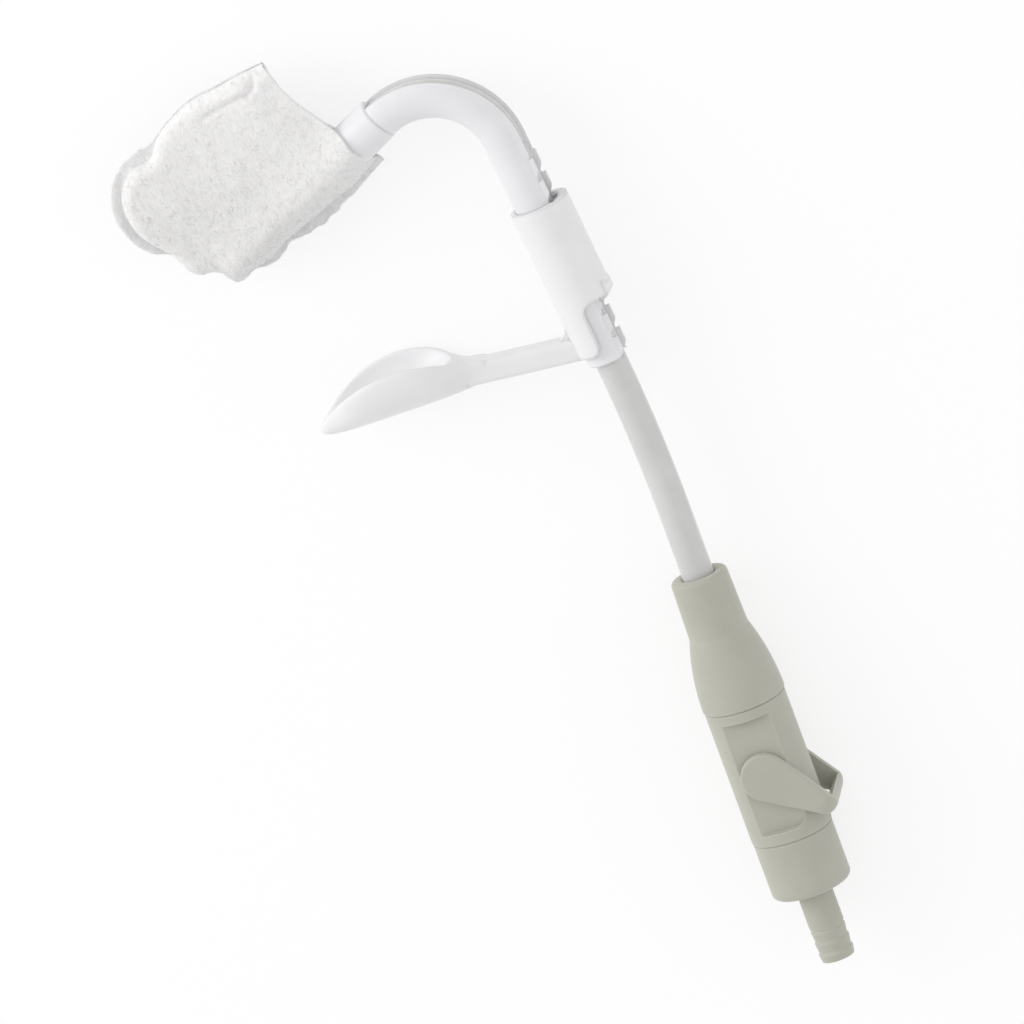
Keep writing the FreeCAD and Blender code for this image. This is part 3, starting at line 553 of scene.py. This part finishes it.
def pouch_heights(plan, sizes):
    """Heights in mm of the weld, of the front layer and of the back layer over the plan."""
    flat = plan.reshape(-1, 2)
    a, p = flat[:, 0], flat[:, 1]
    low_gap, low_run = distance_to(flat, smooth_line(WELD_LOW, LINE_STEPS)[:, :2])
    end_gap, end_run = distance_to(flat, smooth_line(WELD_END, LINE_STEPS)[:, :2])
    high_gap, high_run = distance_to(flat, smooth_line(WELD_HIGH, LINE_STEPS)[:, :2])
    side = np.array(SIDE_WIDTH)
    shape_low = rounded(low_gap, *LOW_ROLL)
    shape_end = rounded(end_gap, *END_ROLL)
    shape_high = rounded(high_gap, np.interp(a, side[:, 0], side[:, 1]), HIGH_SQUARENESS)
    fill = shape_low * shape_end * shape_high
    weld = WELD_LEVEL - WELD_DROP * ease(1 - p / DUCT_SIDE) * fall(a, *WELD_TIP)
    over_duct = np.exp(-(p / DUCT_SPREAD) ** 2) * fall(a, *DUCT_TIP)
    inside = rise(a, *MOUTH_SIDE)
    crown = (sizes.mouth_crown + (sizes.crown - sizes.mouth_crown) * inside) / MM
    past_socket = rise(a, *SOCKET_SIDE)
    duct = (sizes.socket_crown + (sizes.duct_crown - sizes.socket_crown) * past_socket) / MM
    front = crown + (duct - crown) * over_duct - FRONT_FLATTER * rise(a, *FRONT_TIP)
    back = crown - BACK_FLATTER * inside + (duct - crown) * over_duct
    gap = np.minimum(np.minimum(low_gap, end_gap), high_gap)
    low_side = low_gap <= gap
    other_run = np.where(gap == end_gap, end_run + RUN_APART, high_run + 2 * RUN_APART)
    run = np.where(low_side, low_run, other_run)
    turn, scale, seed = PUCKER_WANDER
    wobble = turn * lumps(np.column_stack([run, gap]), scale, seed)
    near_weld = np.exp(-gap / PUCKER_FADE) * (1 - np.exp(-gap / PUCKER_START))
    pucker = np.cos(run * 2 * math.pi / PUCKER_PITCH + wobble) * near_weld
    pucker = pucker * np.where(low_side, *PUCKER_HEIGHTS)
    soft = sum(height * lumps(flat, scale, seed) for height, scale, seed in WAVES)
    half = sizes.weld / MM / 2
    top = weld + half + (front - weld - half) * fill + fill * soft + pucker
    low = weld - half - (back + weld - half) * fill ** BACK_POWER
    low = low - fill * soft * BACK_WAVES - BACK_PUCKERS * pucker
    for fold in FOLDS:
        line = smooth_line(fold, FOLD_STEPS)
        fold_gap, fold_run = distance_to(flat, line[:, :2])
        steps = np.linalg.norm(np.diff(line[:, :2], axis=0), axis=1)
        depth = np.interp(fold_run, np.concatenate([[0], np.cumsum(steps)]), line[:, 2])
        top -= depth * np.exp(-(fold_gap / FOLD_SPREAD) ** 2)
    depth, spread = END_GROOVE
    top -= depth * np.exp(-(end_gap / spread) ** 2) * rise(p, *UPPER_PART)
    top = np.maximum(top, weld + half * LEAST_FRONT)
    shape = plan.shape[:2]
    return weld.reshape(shape), top.reshape(shape), low.reshape(shape), fill.reshape(shape)


def pouch_edge(plan, low_u, high_u, end_v):
    """Grid places along the welded edge, their plan, the way outwards and the width of the weld.

    The edge runs from one corner of the mouth round the far end to the other.
    """
    rows, columns = plan.shape[0] - 1, plan.shape[1] - 1
    places = [(i, 0) for i in range(rows + 1)]
    places += [(rows, j) for j in range(1, columns)]
    places += [(i, columns) for i in range(rows, -1, -1)]
    line = np.array([plan[place] for place in places])
    tangent = np.gradient(line, axis=0)
    kernel = np.ones(EDGE_AVERAGE) / EDGE_AVERAGE
    for c in (0, 1):
        padded = np.pad(tangent[:, c], EDGE_AVERAGE // 2, mode="edge")
        tangent[:, c] = np.convolve(padded, kernel, "valid")
    tangent /= np.linalg.norm(tangent, axis=1)[:, None]
    outward = np.column_stack([tangent[:, 1], -tangent[:, 0]])
    ragged = sum(share * lumps(line, scale, seed) for share, scale, seed in RAGS)
    ragged *= np.where(np.arange(len(places)) <= rows, 1.0, CLEAN_CUT)
    width = np.concatenate([low_u[:, 2], end_v[1:-1, 2], high_u[::-1, 2]])
    return places, line, outward, np.maximum(width * (1 + ragged), NARROWEST_WELD)


def pouch_mesh(sizes):
    """Outer skin of the pouch: front and back layers, and the welded edge that joins them."""
    rows, columns = sizes.rows, sizes.columns
    plan, low_u, high_u, end_v = pouch_grid(rows, columns)
    weld, top, bottom, fill = pouch_heights(plan, sizes)
    from_mouth = np.linspace(1, 0, rows + 1)[:, None] ** SET_BACK_POWER
    low_p, high_p = SET_BACK_SIDES
    across = plan[:, :, 1]
    from_sides = ease(np.minimum(across - low_p, high_p - across) / SET_BACK_BLEND)
    back_plan = plan.copy()
    back_plan[:, :, 0] += sizes.back_set / MM * from_mouth * from_sides

    mesh = bmesh.new()
    weights = []
    wall = PRESSED_WALL + (1 - PRESSED_WALL) * fill

    def vert(a, p, z, weight):
        weights.append(weight)
        return mesh.verts.new(pouch_point(a, p, z))

    def layer_of(grid, heights):
        return [[vert(*grid[i, j], heights[i, j], wall[i, j]) for j in range(columns + 1)]
                for i in range(rows + 1)]

    front = layer_of(plan, top)
    back = layer_of(back_plan, bottom)
    for i in range(rows):
        for j in range(columns):
            mesh.faces.new((front[i][j], front[i + 1][j], front[i + 1][j + 1], front[i][j + 1]))
            mesh.faces.new((back[i][j], back[i][j + 1], back[i + 1][j + 1], back[i + 1][j]))

    places, line, outward, width = pouch_edge(plan, low_u, high_u, end_v)
    last = len(places) - 1
    lift = WELD_LIFT * rise(line[:, 1], *UPPER_PART)
    half = sizes.weld / MM / 2
    height, scale, seed = EDGE_WAVE
    sides = []
    for sign, layer in ((1, front), (-1, back)):
        rings = [[layer[i][j] for i, j in places]]
        for k in range(1, WELD_RINGS + 1):
            share = k / WELD_RINGS
            settled = ease(share * 2)
            thickness = sign * half * (1 - EDGE_THINNING * share ** 2)
            ring = []
            for n, (i, j) in enumerate(places):
                a, p = line[n] + outward[n] * width[n] * share
                wave = height * share * noise.noise(Vector((a * scale, p * scale, seed)))
                wave *= min(width[n], EDGE_WAVE_WIDTH)
                base = layer[i][j].co.z / MM
                level = weld[i, j] + thickness + wave + lift[n] * share
                z = base * (1 - settled) + level * settled
                ring.append(vert(a, p, float(z), WELD_WALL))
            rings.append(ring)
        for inner, outer in zip(rings, rings[1:]):
            for n in range(last):
                quad = (inner[n], outer[n], outer[n + 1], inner[n + 1])
                mesh.faces.new(quad if sign < 0 else quad[::-1])
        sides.append(rings)
    upper, lower = sides
    for n in range(last):
        mesh.faces.new((upper[-1][n], upper[-1][n + 1], lower[-1][n + 1], lower[-1][n]))
    # the weld is closed at both corners of the mouth
    for n in (0, last):
        for k in range(WELD_RINGS):
            mesh.faces.new((upper[k][n], upper[k + 1][n], lower[k + 1][n], lower[k][n]))
    bmesh.ops.recalc_face_normals(mesh, faces=mesh.faces)
    return mesh, weights


def settle_pouch(data, weights, sizes):
    """Faces the skin outwards, thickens it inwards, and gives back the skin and the whole pouch."""
    skin = bpy.data.objects.new("fleece_skin", data)
    bpy.context.scene.collection.objects.link(skin)
    top_face = max(data.polygons, key=lambda f: f.center.z)
    if top_face.normal.z < 0:
        data.flip_normals()
    whole = bpy.data.objects.new("fleece_pouch_soft", data.copy())
    bpy.context.scene.collection.objects.link(whole)
    group = whole.vertex_groups.new(name="wall")
    for index, weight in enumerate(weights):
        group.add([index], float(weight), "REPLACE")
    solidify = whole.modifiers.new("layer", "SOLIDIFY")
    solidify.thickness = sizes.wall
    solidify.offset = -1.0
    solidify.vertex_group = "wall"
    solidify.use_rim = True
    solidify.use_even_offset = False
    bpy.context.view_layer.update()
    graph = bpy.context.evaluated_depsgraph_get()
    finished = bpy.data.meshes.new_from_object(whole.evaluated_get(graph))
    whole.modifiers.clear()
    whole.vertex_groups.clear()
    whole.data = finished
    for polygon in finished.polygons:
        polygon.use_smooth = True
    return skin, whole


def fleece_material(colour):
    material, tree, shader, coords = start_material("Fleece")
    link = tree.links.new
    # long thin noise laid three ways stands for the fibres of the web
    heights = []
    for index, turn in enumerate(WEB_TURNS):
        mapping = add_node(tree, "ShaderNodeMapping", -900, 300 - 250 * index)
        mapping.inputs["Rotation"].default_value = (0.0, 0.0, turn)
        mapping.inputs["Scale"].default_value = WEB_STRETCH
        strand = set_inputs(
            add_node(tree, "ShaderNodeTexNoise", -700, 300 - 250 * index),
            Scale=3000.0, Detail=2.0, Roughness=0.5, Distortion=0.4)
        link(coords.outputs["Object"], mapping.inputs["Vector"])
        link(mapping.outputs["Vector"], strand.inputs["Vector"])
        heights.append(strand.outputs["Fac"])
    high = add_node(tree, "ShaderNodeMath", -450, 200, operation="ADD")
    higher = add_node(tree, "ShaderNodeMath", -300, 100, operation="ADD")
    link(heights[0], high.inputs[0])
    link(heights[1], high.inputs[1])
    link(high.outputs[0], higher.inputs[0])
    link(heights[2], higher.inputs[1])
    web = add_node(tree, "ShaderNodeTexNoise", -700, -500)
    set_inputs(web, Scale=420.0, Detail=5.0, Roughness=0.6)
    link(coords.outputs["Object"], web.inputs["Vector"])
    total = add_node(tree, "ShaderNodeMath", -150, -50, operation="ADD")
    link(higher.outputs[0], total.inputs[0])
    link(web.outputs["Fac"], total.inputs[1])
    bump = add_node(tree, "ShaderNodeBump", 0, -200)
    set_inputs(bump, Strength=0.7, Distance=0.00006)
    link(total.outputs[0], bump.inputs["Height"])
    ramp = add_node(tree, "ShaderNodeMapRange", -150, 250, clamp=True)
    set_inputs(ramp, From_Min=1.7, From_Max=2.3)
    link(total.outputs[0], ramp.inputs["Value"])
    mix = add_node(tree, "ShaderNodeMix", 0, 250, data_type="RGBA")
    mix.inputs[MIX_A].default_value = rgba(colour, 0.96)
    mix.inputs[MIX_B].default_value = rgba(colour, 1.04)
    link(ramp.outputs["Result"], mix.inputs["Factor"])
    # painted shade and light: the colour is darker towards the far end and the low side, lighter
    # towards the mouth and the upper side
    along = add_node(tree, "ShaderNodeVectorMath", -450, 500, operation="DOT_PRODUCT")
    along.inputs[1].default_value = PAINTED_SHADE_ALONG
    link(coords.outputs["Object"], along.inputs[0])
    painted_shade = add_node(tree, "ShaderNodeMapRange", -250, 500, clamp=True)
    set_inputs(painted_shade, From_Min=PAINTED_SHADE_FROM, From_Max=PAINTED_SHADE_TO, To_Min=PAINTED_SHADE_LOW, To_Max=PAINTED_LIGHT_HIGH)
    link(along.outputs["Value"], painted_shade.inputs["Value"])
    tone = add_node(tree, "ShaderNodeVectorMath", 150, 400, operation="SCALE")
    link(mix.outputs[MIX_OUT], tone.inputs[0])
    link(painted_shade.outputs["Result"], tone.inputs["Scale"])
    link(tone.outputs["Vector"], shader.inputs["Base Color"])
    link(bump.outputs["Normal"], shader.inputs["Normal"])
    set_inputs(
        shader, Roughness=0.95, Specular_IOR_Level=0.15, Sheen_Weight=0.25, Sheen_Roughness=0.6,
        Subsurface_Weight=0.2, Subsurface_Scale=0.001)
    shader.inputs["Subsurface Radius"].default_value = (1.0, 0.95, 0.9)
    return material


def fibre_tree(material):
    """Geometry Nodes tree: bent fibres scattered over a skin, lying nearly flat on it."""
    tree = bpy.data.node_groups.new("Loose fibres", "GeometryNodeTree")
    make = tree.interface.new_socket
    make(name="Skin", in_out="INPUT", socket_type="NodeSocketGeometry")
    for label, kind, default in (
        ("Density", "NodeSocketFloat", 1.0), ("Length", "NodeSocketFloat", 0.002),
        ("Thickness", "NodeSocketFloat", 0.00006), ("Seed", "NodeSocketInt", 1),
    ):
        make(name=label, in_out="INPUT", socket_type=kind).default_value = default
    make(name="Fibres", in_out="OUTPUT", socket_type="NodeSocketGeometry")
    source = add_node(tree, "NodeGroupInput", -1200, 0)
    sink = add_node(tree, "NodeGroupOutput", 900, 0)
    link = tree.links.new
    scatter = add_node(tree, "GeometryNodeDistributePointsOnFaces", -700, 200)
    link(source.outputs["Skin"], scatter.inputs["Mesh"])
    link(source.outputs["Density"], scatter.inputs["Density"])
    link(source.outputs["Seed"], scatter.inputs["Seed"])
    bend = add_node(tree, "GeometryNodeCurveQuadraticBezier", -400, -250)
    bend.inputs["Resolution"].default_value = 5
    for name, point in FIBRE_BEND:
        scale = add_node(tree, "ShaderNodeVectorMath", -700, -250, operation="SCALE")
        scale.inputs[0].default_value = point
        link(source.outputs["Length"], scale.inputs["Scale"])
        link(scale.outputs["Vector"], bend.inputs[name])
    round_section = add_node(tree, "GeometryNodeCurvePrimitiveCircle", -400, -500)
    round_section.inputs["Resolution"].default_value = 3
    half = add_node(tree, "ShaderNodeMath", -600, -600, operation="MULTIPLY")
    half.inputs[1].default_value = 0.5
    link(source.outputs["Thickness"], half.inputs[0])
    link(half.outputs[0], round_section.inputs["Radius"])
    strand = add_node(tree, "GeometryNodeCurveToMesh", -150, -300)
    strand.inputs["Fill Caps"].default_value = True
    link(bend.outputs["Curve"], strand.inputs["Curve"])
    link(round_section.outputs["Curve"], strand.inputs["Profile Curve"])
    spin = add_node(tree, "FunctionNodeRandomValue", -700, -20, data_type="FLOAT_VECTOR")
    spin.inputs["Min"].default_value = (-FIBRE_LEAN, -FIBRE_LEAN, 0.0)
    spin.inputs["Max"].default_value = (FIBRE_LEAN, FIBRE_LEAN, 2 * math.pi)
    link(source.outputs["Seed"], spin.inputs["Seed"])
    euler = add_node(tree, "FunctionNodeEulerToRotation", -500, -20)
    link(spin.outputs["Value"], euler.inputs["Euler"])
    turn = add_node(tree, "FunctionNodeRotateRotation", -300, 50, rotation_space="LOCAL")
    link(scatter.outputs["Rotation"], turn.inputs["Rotation"])
    link(euler.outputs["Rotation"], turn.inputs["Rotate By"])
    size = add_node(tree, "FunctionNodeRandomValue", -300, -120, data_type="FLOAT")
    size.inputs[RANDOM_MIN].default_value, size.inputs[RANDOM_MAX].default_value = FIBRE_SIZES
    link(source.outputs["Seed"], size.inputs["Seed"])
    place = add_node(tree, "GeometryNodeInstanceOnPoints", 100, 100)
    link(scatter.outputs["Points"], place.inputs["Points"])
    link(strand.outputs["Mesh"], place.inputs["Instance"])
    link(turn.outputs["Rotation"], place.inputs["Rotation"])
    link(size.outputs[RANDOM_OUT], place.inputs["Scale"])
    real = add_node(tree, "GeometryNodeRealizeInstances", 350, 100)
    paint = add_node(tree, "GeometryNodeSetMaterial", 600, 100)
    paint.inputs["Material"].default_value = material
    link(place.outputs["Instances"], real.inputs["Geometry"])
    link(real.outputs["Geometry"], paint.inputs["Geometry"])
    link(paint.outputs["Geometry"], sink.inputs["Fibres"])
    return tree


def set_tree_input(modifier, label, value):
    for item in modifier.node_group.interface.items_tree:
        if item.item_type == "SOCKET" and item.in_out == "INPUT" and item.name == label:
            modifier[item.identifier] = value
            return
    raise RuntimeError("no input named " + label)


def make_fibres(skin, sizes, material):
    """Loose fibres over the outer skin as one plain mesh."""
    data = bpy.data.meshes.new("fleece_fibres")
    fibres = bpy.data.objects.new("fleece_fibres", data)
    bpy.context.scene.collection.objects.link(fibres)
    fibres.data = skin.data.copy()
    area = sum(f.area for f in skin.data.polygons)
    modifier = fibres.modifiers.new("fibres", "NODES")
    modifier.node_group = fibre_tree(material)
    set_tree_input(modifier, "Density", sizes.fibre_count / area)
    set_tree_input(modifier, "Length", sizes.fibre_length)
    set_tree_input(modifier, "Thickness", sizes.fibre_thickness)
    set_tree_input(modifier, "Seed", sizes.fibre_seed)
    bpy.context.view_layer.update()
    graph = bpy.context.evaluated_depsgraph_get()
    finished = bpy.data.meshes.new_from_object(fibres.evaluated_get(graph))
    fibres.modifiers.clear()
    fibres.data = finished
    return fibres


# Operators

class EJECTOR_OT_valve(bpy.types.Operator):
    """Give the suction valve and its lever their matt grained plastic"""
    bl_idname = "ejector.valve"
    bl_label = "Finish the valve"

    def execute(self, context):
        colour = tuple(looks(context).colours.valve)
        # edge is the colour of the painted highlight along sharp edges
        material, shader = moulded_material(
            "Valve plastic", colour, cloud=rgba(colour, 0.965), edge=rgba(colour, 1.32),
            grain=3600.0, depth=0.000035, rough=0.52, spread=0.16, highlight_width=0.00045)
        set_inputs(shader, Specular_IOR_Level=0.2, Sheen_Weight=0.4, Sheen_Roughness=0.4)
        put_material(("valve_body", "nose_piece", "tail_cap", "lever"), material)
        # edge is the colour of the painted highlight along sharp edges
        inner, _ = moulded_material(
            "Spool plastic", tuple(c * 0.9 for c in colour),
            cloud=rgba(colour, 0.86), edge=rgba(colour),
            grain=2400.0, depth=0.00001, rough=0.35, spread=0.1, highlight_width=0.0003)
        put_material(("valve_spool",), inner)
        return {"FINISHED"}


class EJECTOR_OT_seals(bpy.types.Operator):
    """Give the four O-rings their dark rubber"""
    bl_idname = "ejector.seals"
    bl_label = "Finish the seals"

    def execute(self, context):
        colour = tuple(looks(context).colours.rubber)
        # edge is the colour of the painted highlight along sharp edges
        material, _ = moulded_material(
            "Seal rubber", colour, cloud=rgba(colour, 1.5), edge=rgba(colour, 2.0),
            grain=5000.0, depth=0.000008, rough=0.6, spread=0.2, highlight_width=0.0002)
        put_material(("tail_seal", "nose_seal", "spool_seal_near", "spool_seal_far"), material)
        return {"FINISHED"}


class EJECTOR_OT_tube(bpy.types.Operator):
    """Give the suction tube its cloudy grey vinyl"""
    bl_idname = "ejector.tube"
    bl_label = "Finish the tube"

    def execute(self, context):
        colour = tuple(looks(context).colours.tube)
        # edge is the colour of the painted highlight along sharp edges
        material, shader = moulded_material(
            "Tube vinyl", colour, cloud=rgba(colour, 0.94), edge=rgba(colour, 1.15),
            grain=900.0, depth=0.000002, rough=0.33, spread=0.06, highlight_width=0.0002)
        set_inputs(
            shader, IOR=1.40, Transmission_Weight=0.22, Subsurface_Weight=0.4,
            Subsurface_Scale=0.001, Sheen_Weight=0.8, Sheen_Roughness=0.3)
        shader.inputs["Subsurface Radius"].default_value = (1.0, 1.0, 1.0)
        put_material(("suction_tube",), material)
        return {"FINISHED"}


class EJECTOR_OT_frame(bpy.types.Operator):
    """Give the retractor frame its cool milky plastic"""
    bl_idname = "ejector.frame"
    bl_label = "Finish the retractor frame"

    def execute(self, context):
        colour = tuple(looks(context).colours.frame)
        # edge is the colour of the painted highlight along sharp edges
        material, shader = moulded_material(
            "Frame plastic", colour, cloud=rgba(colour, 0.97), edge=rgba(colour, 1.10),
            grain=1500.0, depth=0.000012, rough=0.34, spread=0.12, highlight_width=0.0003,
            rounding=0.0005)
        set_inputs(shader, Subsurface_Weight=0.35, Subsurface_Scale=0.0015)
        shader.inputs["Subsurface Radius"].default_value = (1.0, 0.95, 0.95)
        put_material(("retractor_frame",), material)
        return {"FINISHED"}


class EJECTOR_OT_slider(bpy.types.Operator):
    """Give the chin slider its white plastic"""
    bl_idname = "ejector.slider"
    bl_label = "Finish the chin slider"

    def execute(self, context):
        colour = tuple(looks(context).colours.slider)
        # edge is the colour of the painted highlight along sharp edges
        material, shader = moulded_material(
            "Slider plastic", colour, cloud=rgba(colour, 0.975), edge=rgba(colour, 1.08),
            grain=1500.0, depth=0.000012, rough=0.38, spread=0.12, highlight_width=0.0004,
            rounding=0.0011)
        set_inputs(shader, Subsurface_Weight=0.3, Subsurface_Scale=0.0015)
        shader.inputs["Subsurface Radius"].default_value = (1.0, 0.95, 0.92)
        put_material(("chin_slider",), material)
        return {"FINISHED"}


class EJECTOR_OT_pouch(bpy.types.Operator):
    """Build the fleece pouch as a hollow soft sleeve over the blade, with its loose fibres"""
    bl_idname = "ejector.pouch"
    bl_label = "Make the fleece pouch"

    def execute(self, context):
        settings = looks(context)
        material = fleece_material(tuple(settings.colours.fleece))
        mesh, weights = pouch_mesh(settings.pouch)
        data = bpy.data.meshes.new("fleece_skin")
        mesh.to_mesh(data)
        mesh.free()
        skin, pouch = settle_pouch(data, weights, settings.pouch)
        pouch.data.materials.clear()
        pouch.data.materials.append(material)
        fibres = make_fibres(skin, settings.pouch, material)
        bpy.data.objects.remove(skin)
        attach(pouch, "ejector")
        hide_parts("fleece_pouch")
        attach(fibres, "ejector")
        put_material(("fleece_pouch",), material)
        return {"FINISHED"}


class EJECTOR_OT_stage(bpy.types.Operator):
    """Set up the floor, the soft light and the camera at the photograph's angle"""
    bl_idname = "ejector.stage"
    bl_label = "Set the stage"

    def execute(self, context):
        settings = looks(context).stage
        self.floor(context, settings, rgba(looks(context).colours.floor))
        self.light(context, settings)
        self.camera(context, settings)
        context.scene.view_settings.view_transform = "Standard"
        return {"FINISHED"}

    def shown_white(self, tree, x, y):
        # 1 for rays that should see the plain white background
        path = add_node(tree, "ShaderNodeLightPath", x - 400, y)
        glossy = add_node(tree, "ShaderNodeMath", x - 200, y, operation="MAXIMUM")
        either = add_node(tree, "ShaderNodeMath", x, y, operation="MAXIMUM")
        tree.links.new(path.outputs["Is Camera Ray"], glossy.inputs[0])
        tree.links.new(path.outputs["Is Glossy Ray"], glossy.inputs[1])
        tree.links.new(glossy.outputs[0], either.inputs[0])
        tree.links.new(path.outputs["Is Transmission Ray"], either.inputs[1])
        return either.outputs[0]

    def floor(self, context, settings, colour):
        low = min(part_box(name)[0].z for name in frame["nodes"])
        half = settings.floor_side / 2
        data = bpy.data.meshes.new("floor")
        corners = [(-half, -half, low), (half, -half, low), (half, half, low), (-half, half, low)]
        data.from_pydata(corners, [], [(0, 1, 2, 3)])
        floor = bpy.data.objects.new("floor", data)
        context.scene.collection.objects.link(floor)
        material = bpy.data.materials.new("Floor")
        material.use_nodes = True
        tree = material.node_tree
        shader = tree.nodes["Principled BSDF"]
        set_inputs(shader, Base_Color=colour, Roughness=0.9, Specular_IOR_Level=0.0)
        glow = add_node(tree, "ShaderNodeEmission", 0, -300)
        set_inputs(glow, Strength=1.0)
        share = add_node(tree, "ShaderNodeMath", 0, 300, operation="MULTIPLY")
        share.inputs[1].default_value = 1.0 - settings.shadow
        tree.links.new(self.shown_white(tree, -300, 300), share.inputs[0])
        mix = add_node(tree, "ShaderNodeMixShader", 300, 0)
        tree.links.new(share.outputs[0], mix.inputs["Fac"])
        tree.links.new(shader.outputs[0], mix.inputs[1])
        tree.links.new(glow.outputs[0], mix.inputs[2])
        tree.links.new(mix.outputs[0], tree.nodes["Material Output"].inputs["Surface"])
        data.materials.append(material)

    def light(self, context, settings):
        world = bpy.data.worlds.new("Studio")
        context.scene.world = world
        world.use_nodes = True
        tree = world.node_tree
        sky = tree.nodes["Background"]
        set_inputs(sky, Color=(1.0, 1.0, 1.0, 1.0), Strength=settings.sky)
        white = add_node(tree, "ShaderNodeBackground", 0, -200)
        set_inputs(white, Color=(1.0, 1.0, 1.0, 1.0), Strength=1.0)
        mix = add_node(tree, "ShaderNodeMixShader", 300, 0)
        tree.links.new(self.shown_white(tree, -300, 300), mix.inputs["Fac"])
        tree.links.new(sky.outputs[0], mix.inputs[1])
        tree.links.new(white.outputs[0], mix.inputs[2])
        tree.links.new(mix.outputs[0], tree.nodes["World Output"].inputs["Surface"])
        self.lamp(context, "key", settings.key, KEY_PLACE)
        self.lamp(context, "fill", settings.fill, FILL_PLACE)

    def lamp(self, context, name, power, offset):
        data = bpy.data.lights.new(name, "AREA")
        data.shape = "DISK"
        data.size = LAMP_SIZE
        data.energy = power
        lamp = bpy.data.objects.new(name, data)
        context.scene.collection.objects.link(lamp)
        lamp.location = LAMP_AIM + offset
        lamp.rotation_euler = (-offset).to_track_quat("-Z", "Y").to_euler()

    def camera(self, context, settings):
        # three directions square to each other: right and up in the picture, and to the camera
        right = VIEW_RIGHT.normalized()
        towards = VIEW_TOWARDS.normalized()
        up = towards.cross(right).normalized()
        right = up.cross(towards).normalized()
        data = bpy.data.cameras.new("camera")
        data.lens = settings.lens
        data.sensor_width = 36.0
        distance = settings.view_width / 2 / (data.sensor_width / 2 / data.lens)
        x, y, z = VIEW_MIDDLE
        centre = right * x * MM + up * y * MM + towards * z * MM
        camera = bpy.data.objects.new("camera", data)
        context.scene.collection.objects.link(camera)
        turn = Matrix((right, up, towards)).transposed().to_4x4()
        camera.matrix_world = Matrix.Translation(centre + towards * distance) @ turn
        data.clip_start = distance * 0.05
        data.clip_end = distance * 20
        context.scene.camera = camera


class EJECTOR_PT_panel(bpy.types.Panel):
    """Sidebar panel that lists the steps and their sizes"""
    bl_label = "Saliva ejector"
    bl_idname = "EJECTOR_PT_panel"
    bl_space_type = "VIEW_3D"
    bl_region_type = "UI"
    bl_category = "Ejector"

    def draw(self, context):
        settings = looks(context)
        for operator in OPERATORS:
            self.layout.operator(operator.bl_idname)
        for group in (settings.colours, settings.pouch, settings.stage):
            box = self.layout.box()
            for name in group.bl_rna.properties.keys():
                if name not in ("rna_type", "name"):
                    box.prop(group, name)


GROUPS = (EjectorColours, PouchSizes, StageSizes, EjectorLooks)
OPERATORS = (
    EJECTOR_OT_valve, EJECTOR_OT_seals, EJECTOR_OT_tube, EJECTOR_OT_frame,
    EJECTOR_OT_slider, EJECTOR_OT_pouch, EJECTOR_OT_stage,
)


def register():
    for kind in (*GROUPS, *OPERATORS, EJECTOR_PT_panel):
        bpy.utils.register_class(kind)
    bpy.types.Scene.ejector_looks = PointerProperty(type=EjectorLooks)


def unregister():
    del bpy.types.Scene.ejector_looks
    for kind in reversed((*GROUPS, *OPERATORS, EJECTOR_PT_panel)):
        bpy.utils.unregister_class(kind)


def main():
    register()
    bpy.ops.ejector.valve()
    bpy.ops.ejector.seals()
    bpy.ops.ejector.tube()
    bpy.ops.ejector.frame()
    bpy.ops.ejector.slider()
    bpy.ops.ejector.pouch()
    bpy.ops.ejector.stage()


if __name__ == "__main__":
    main()
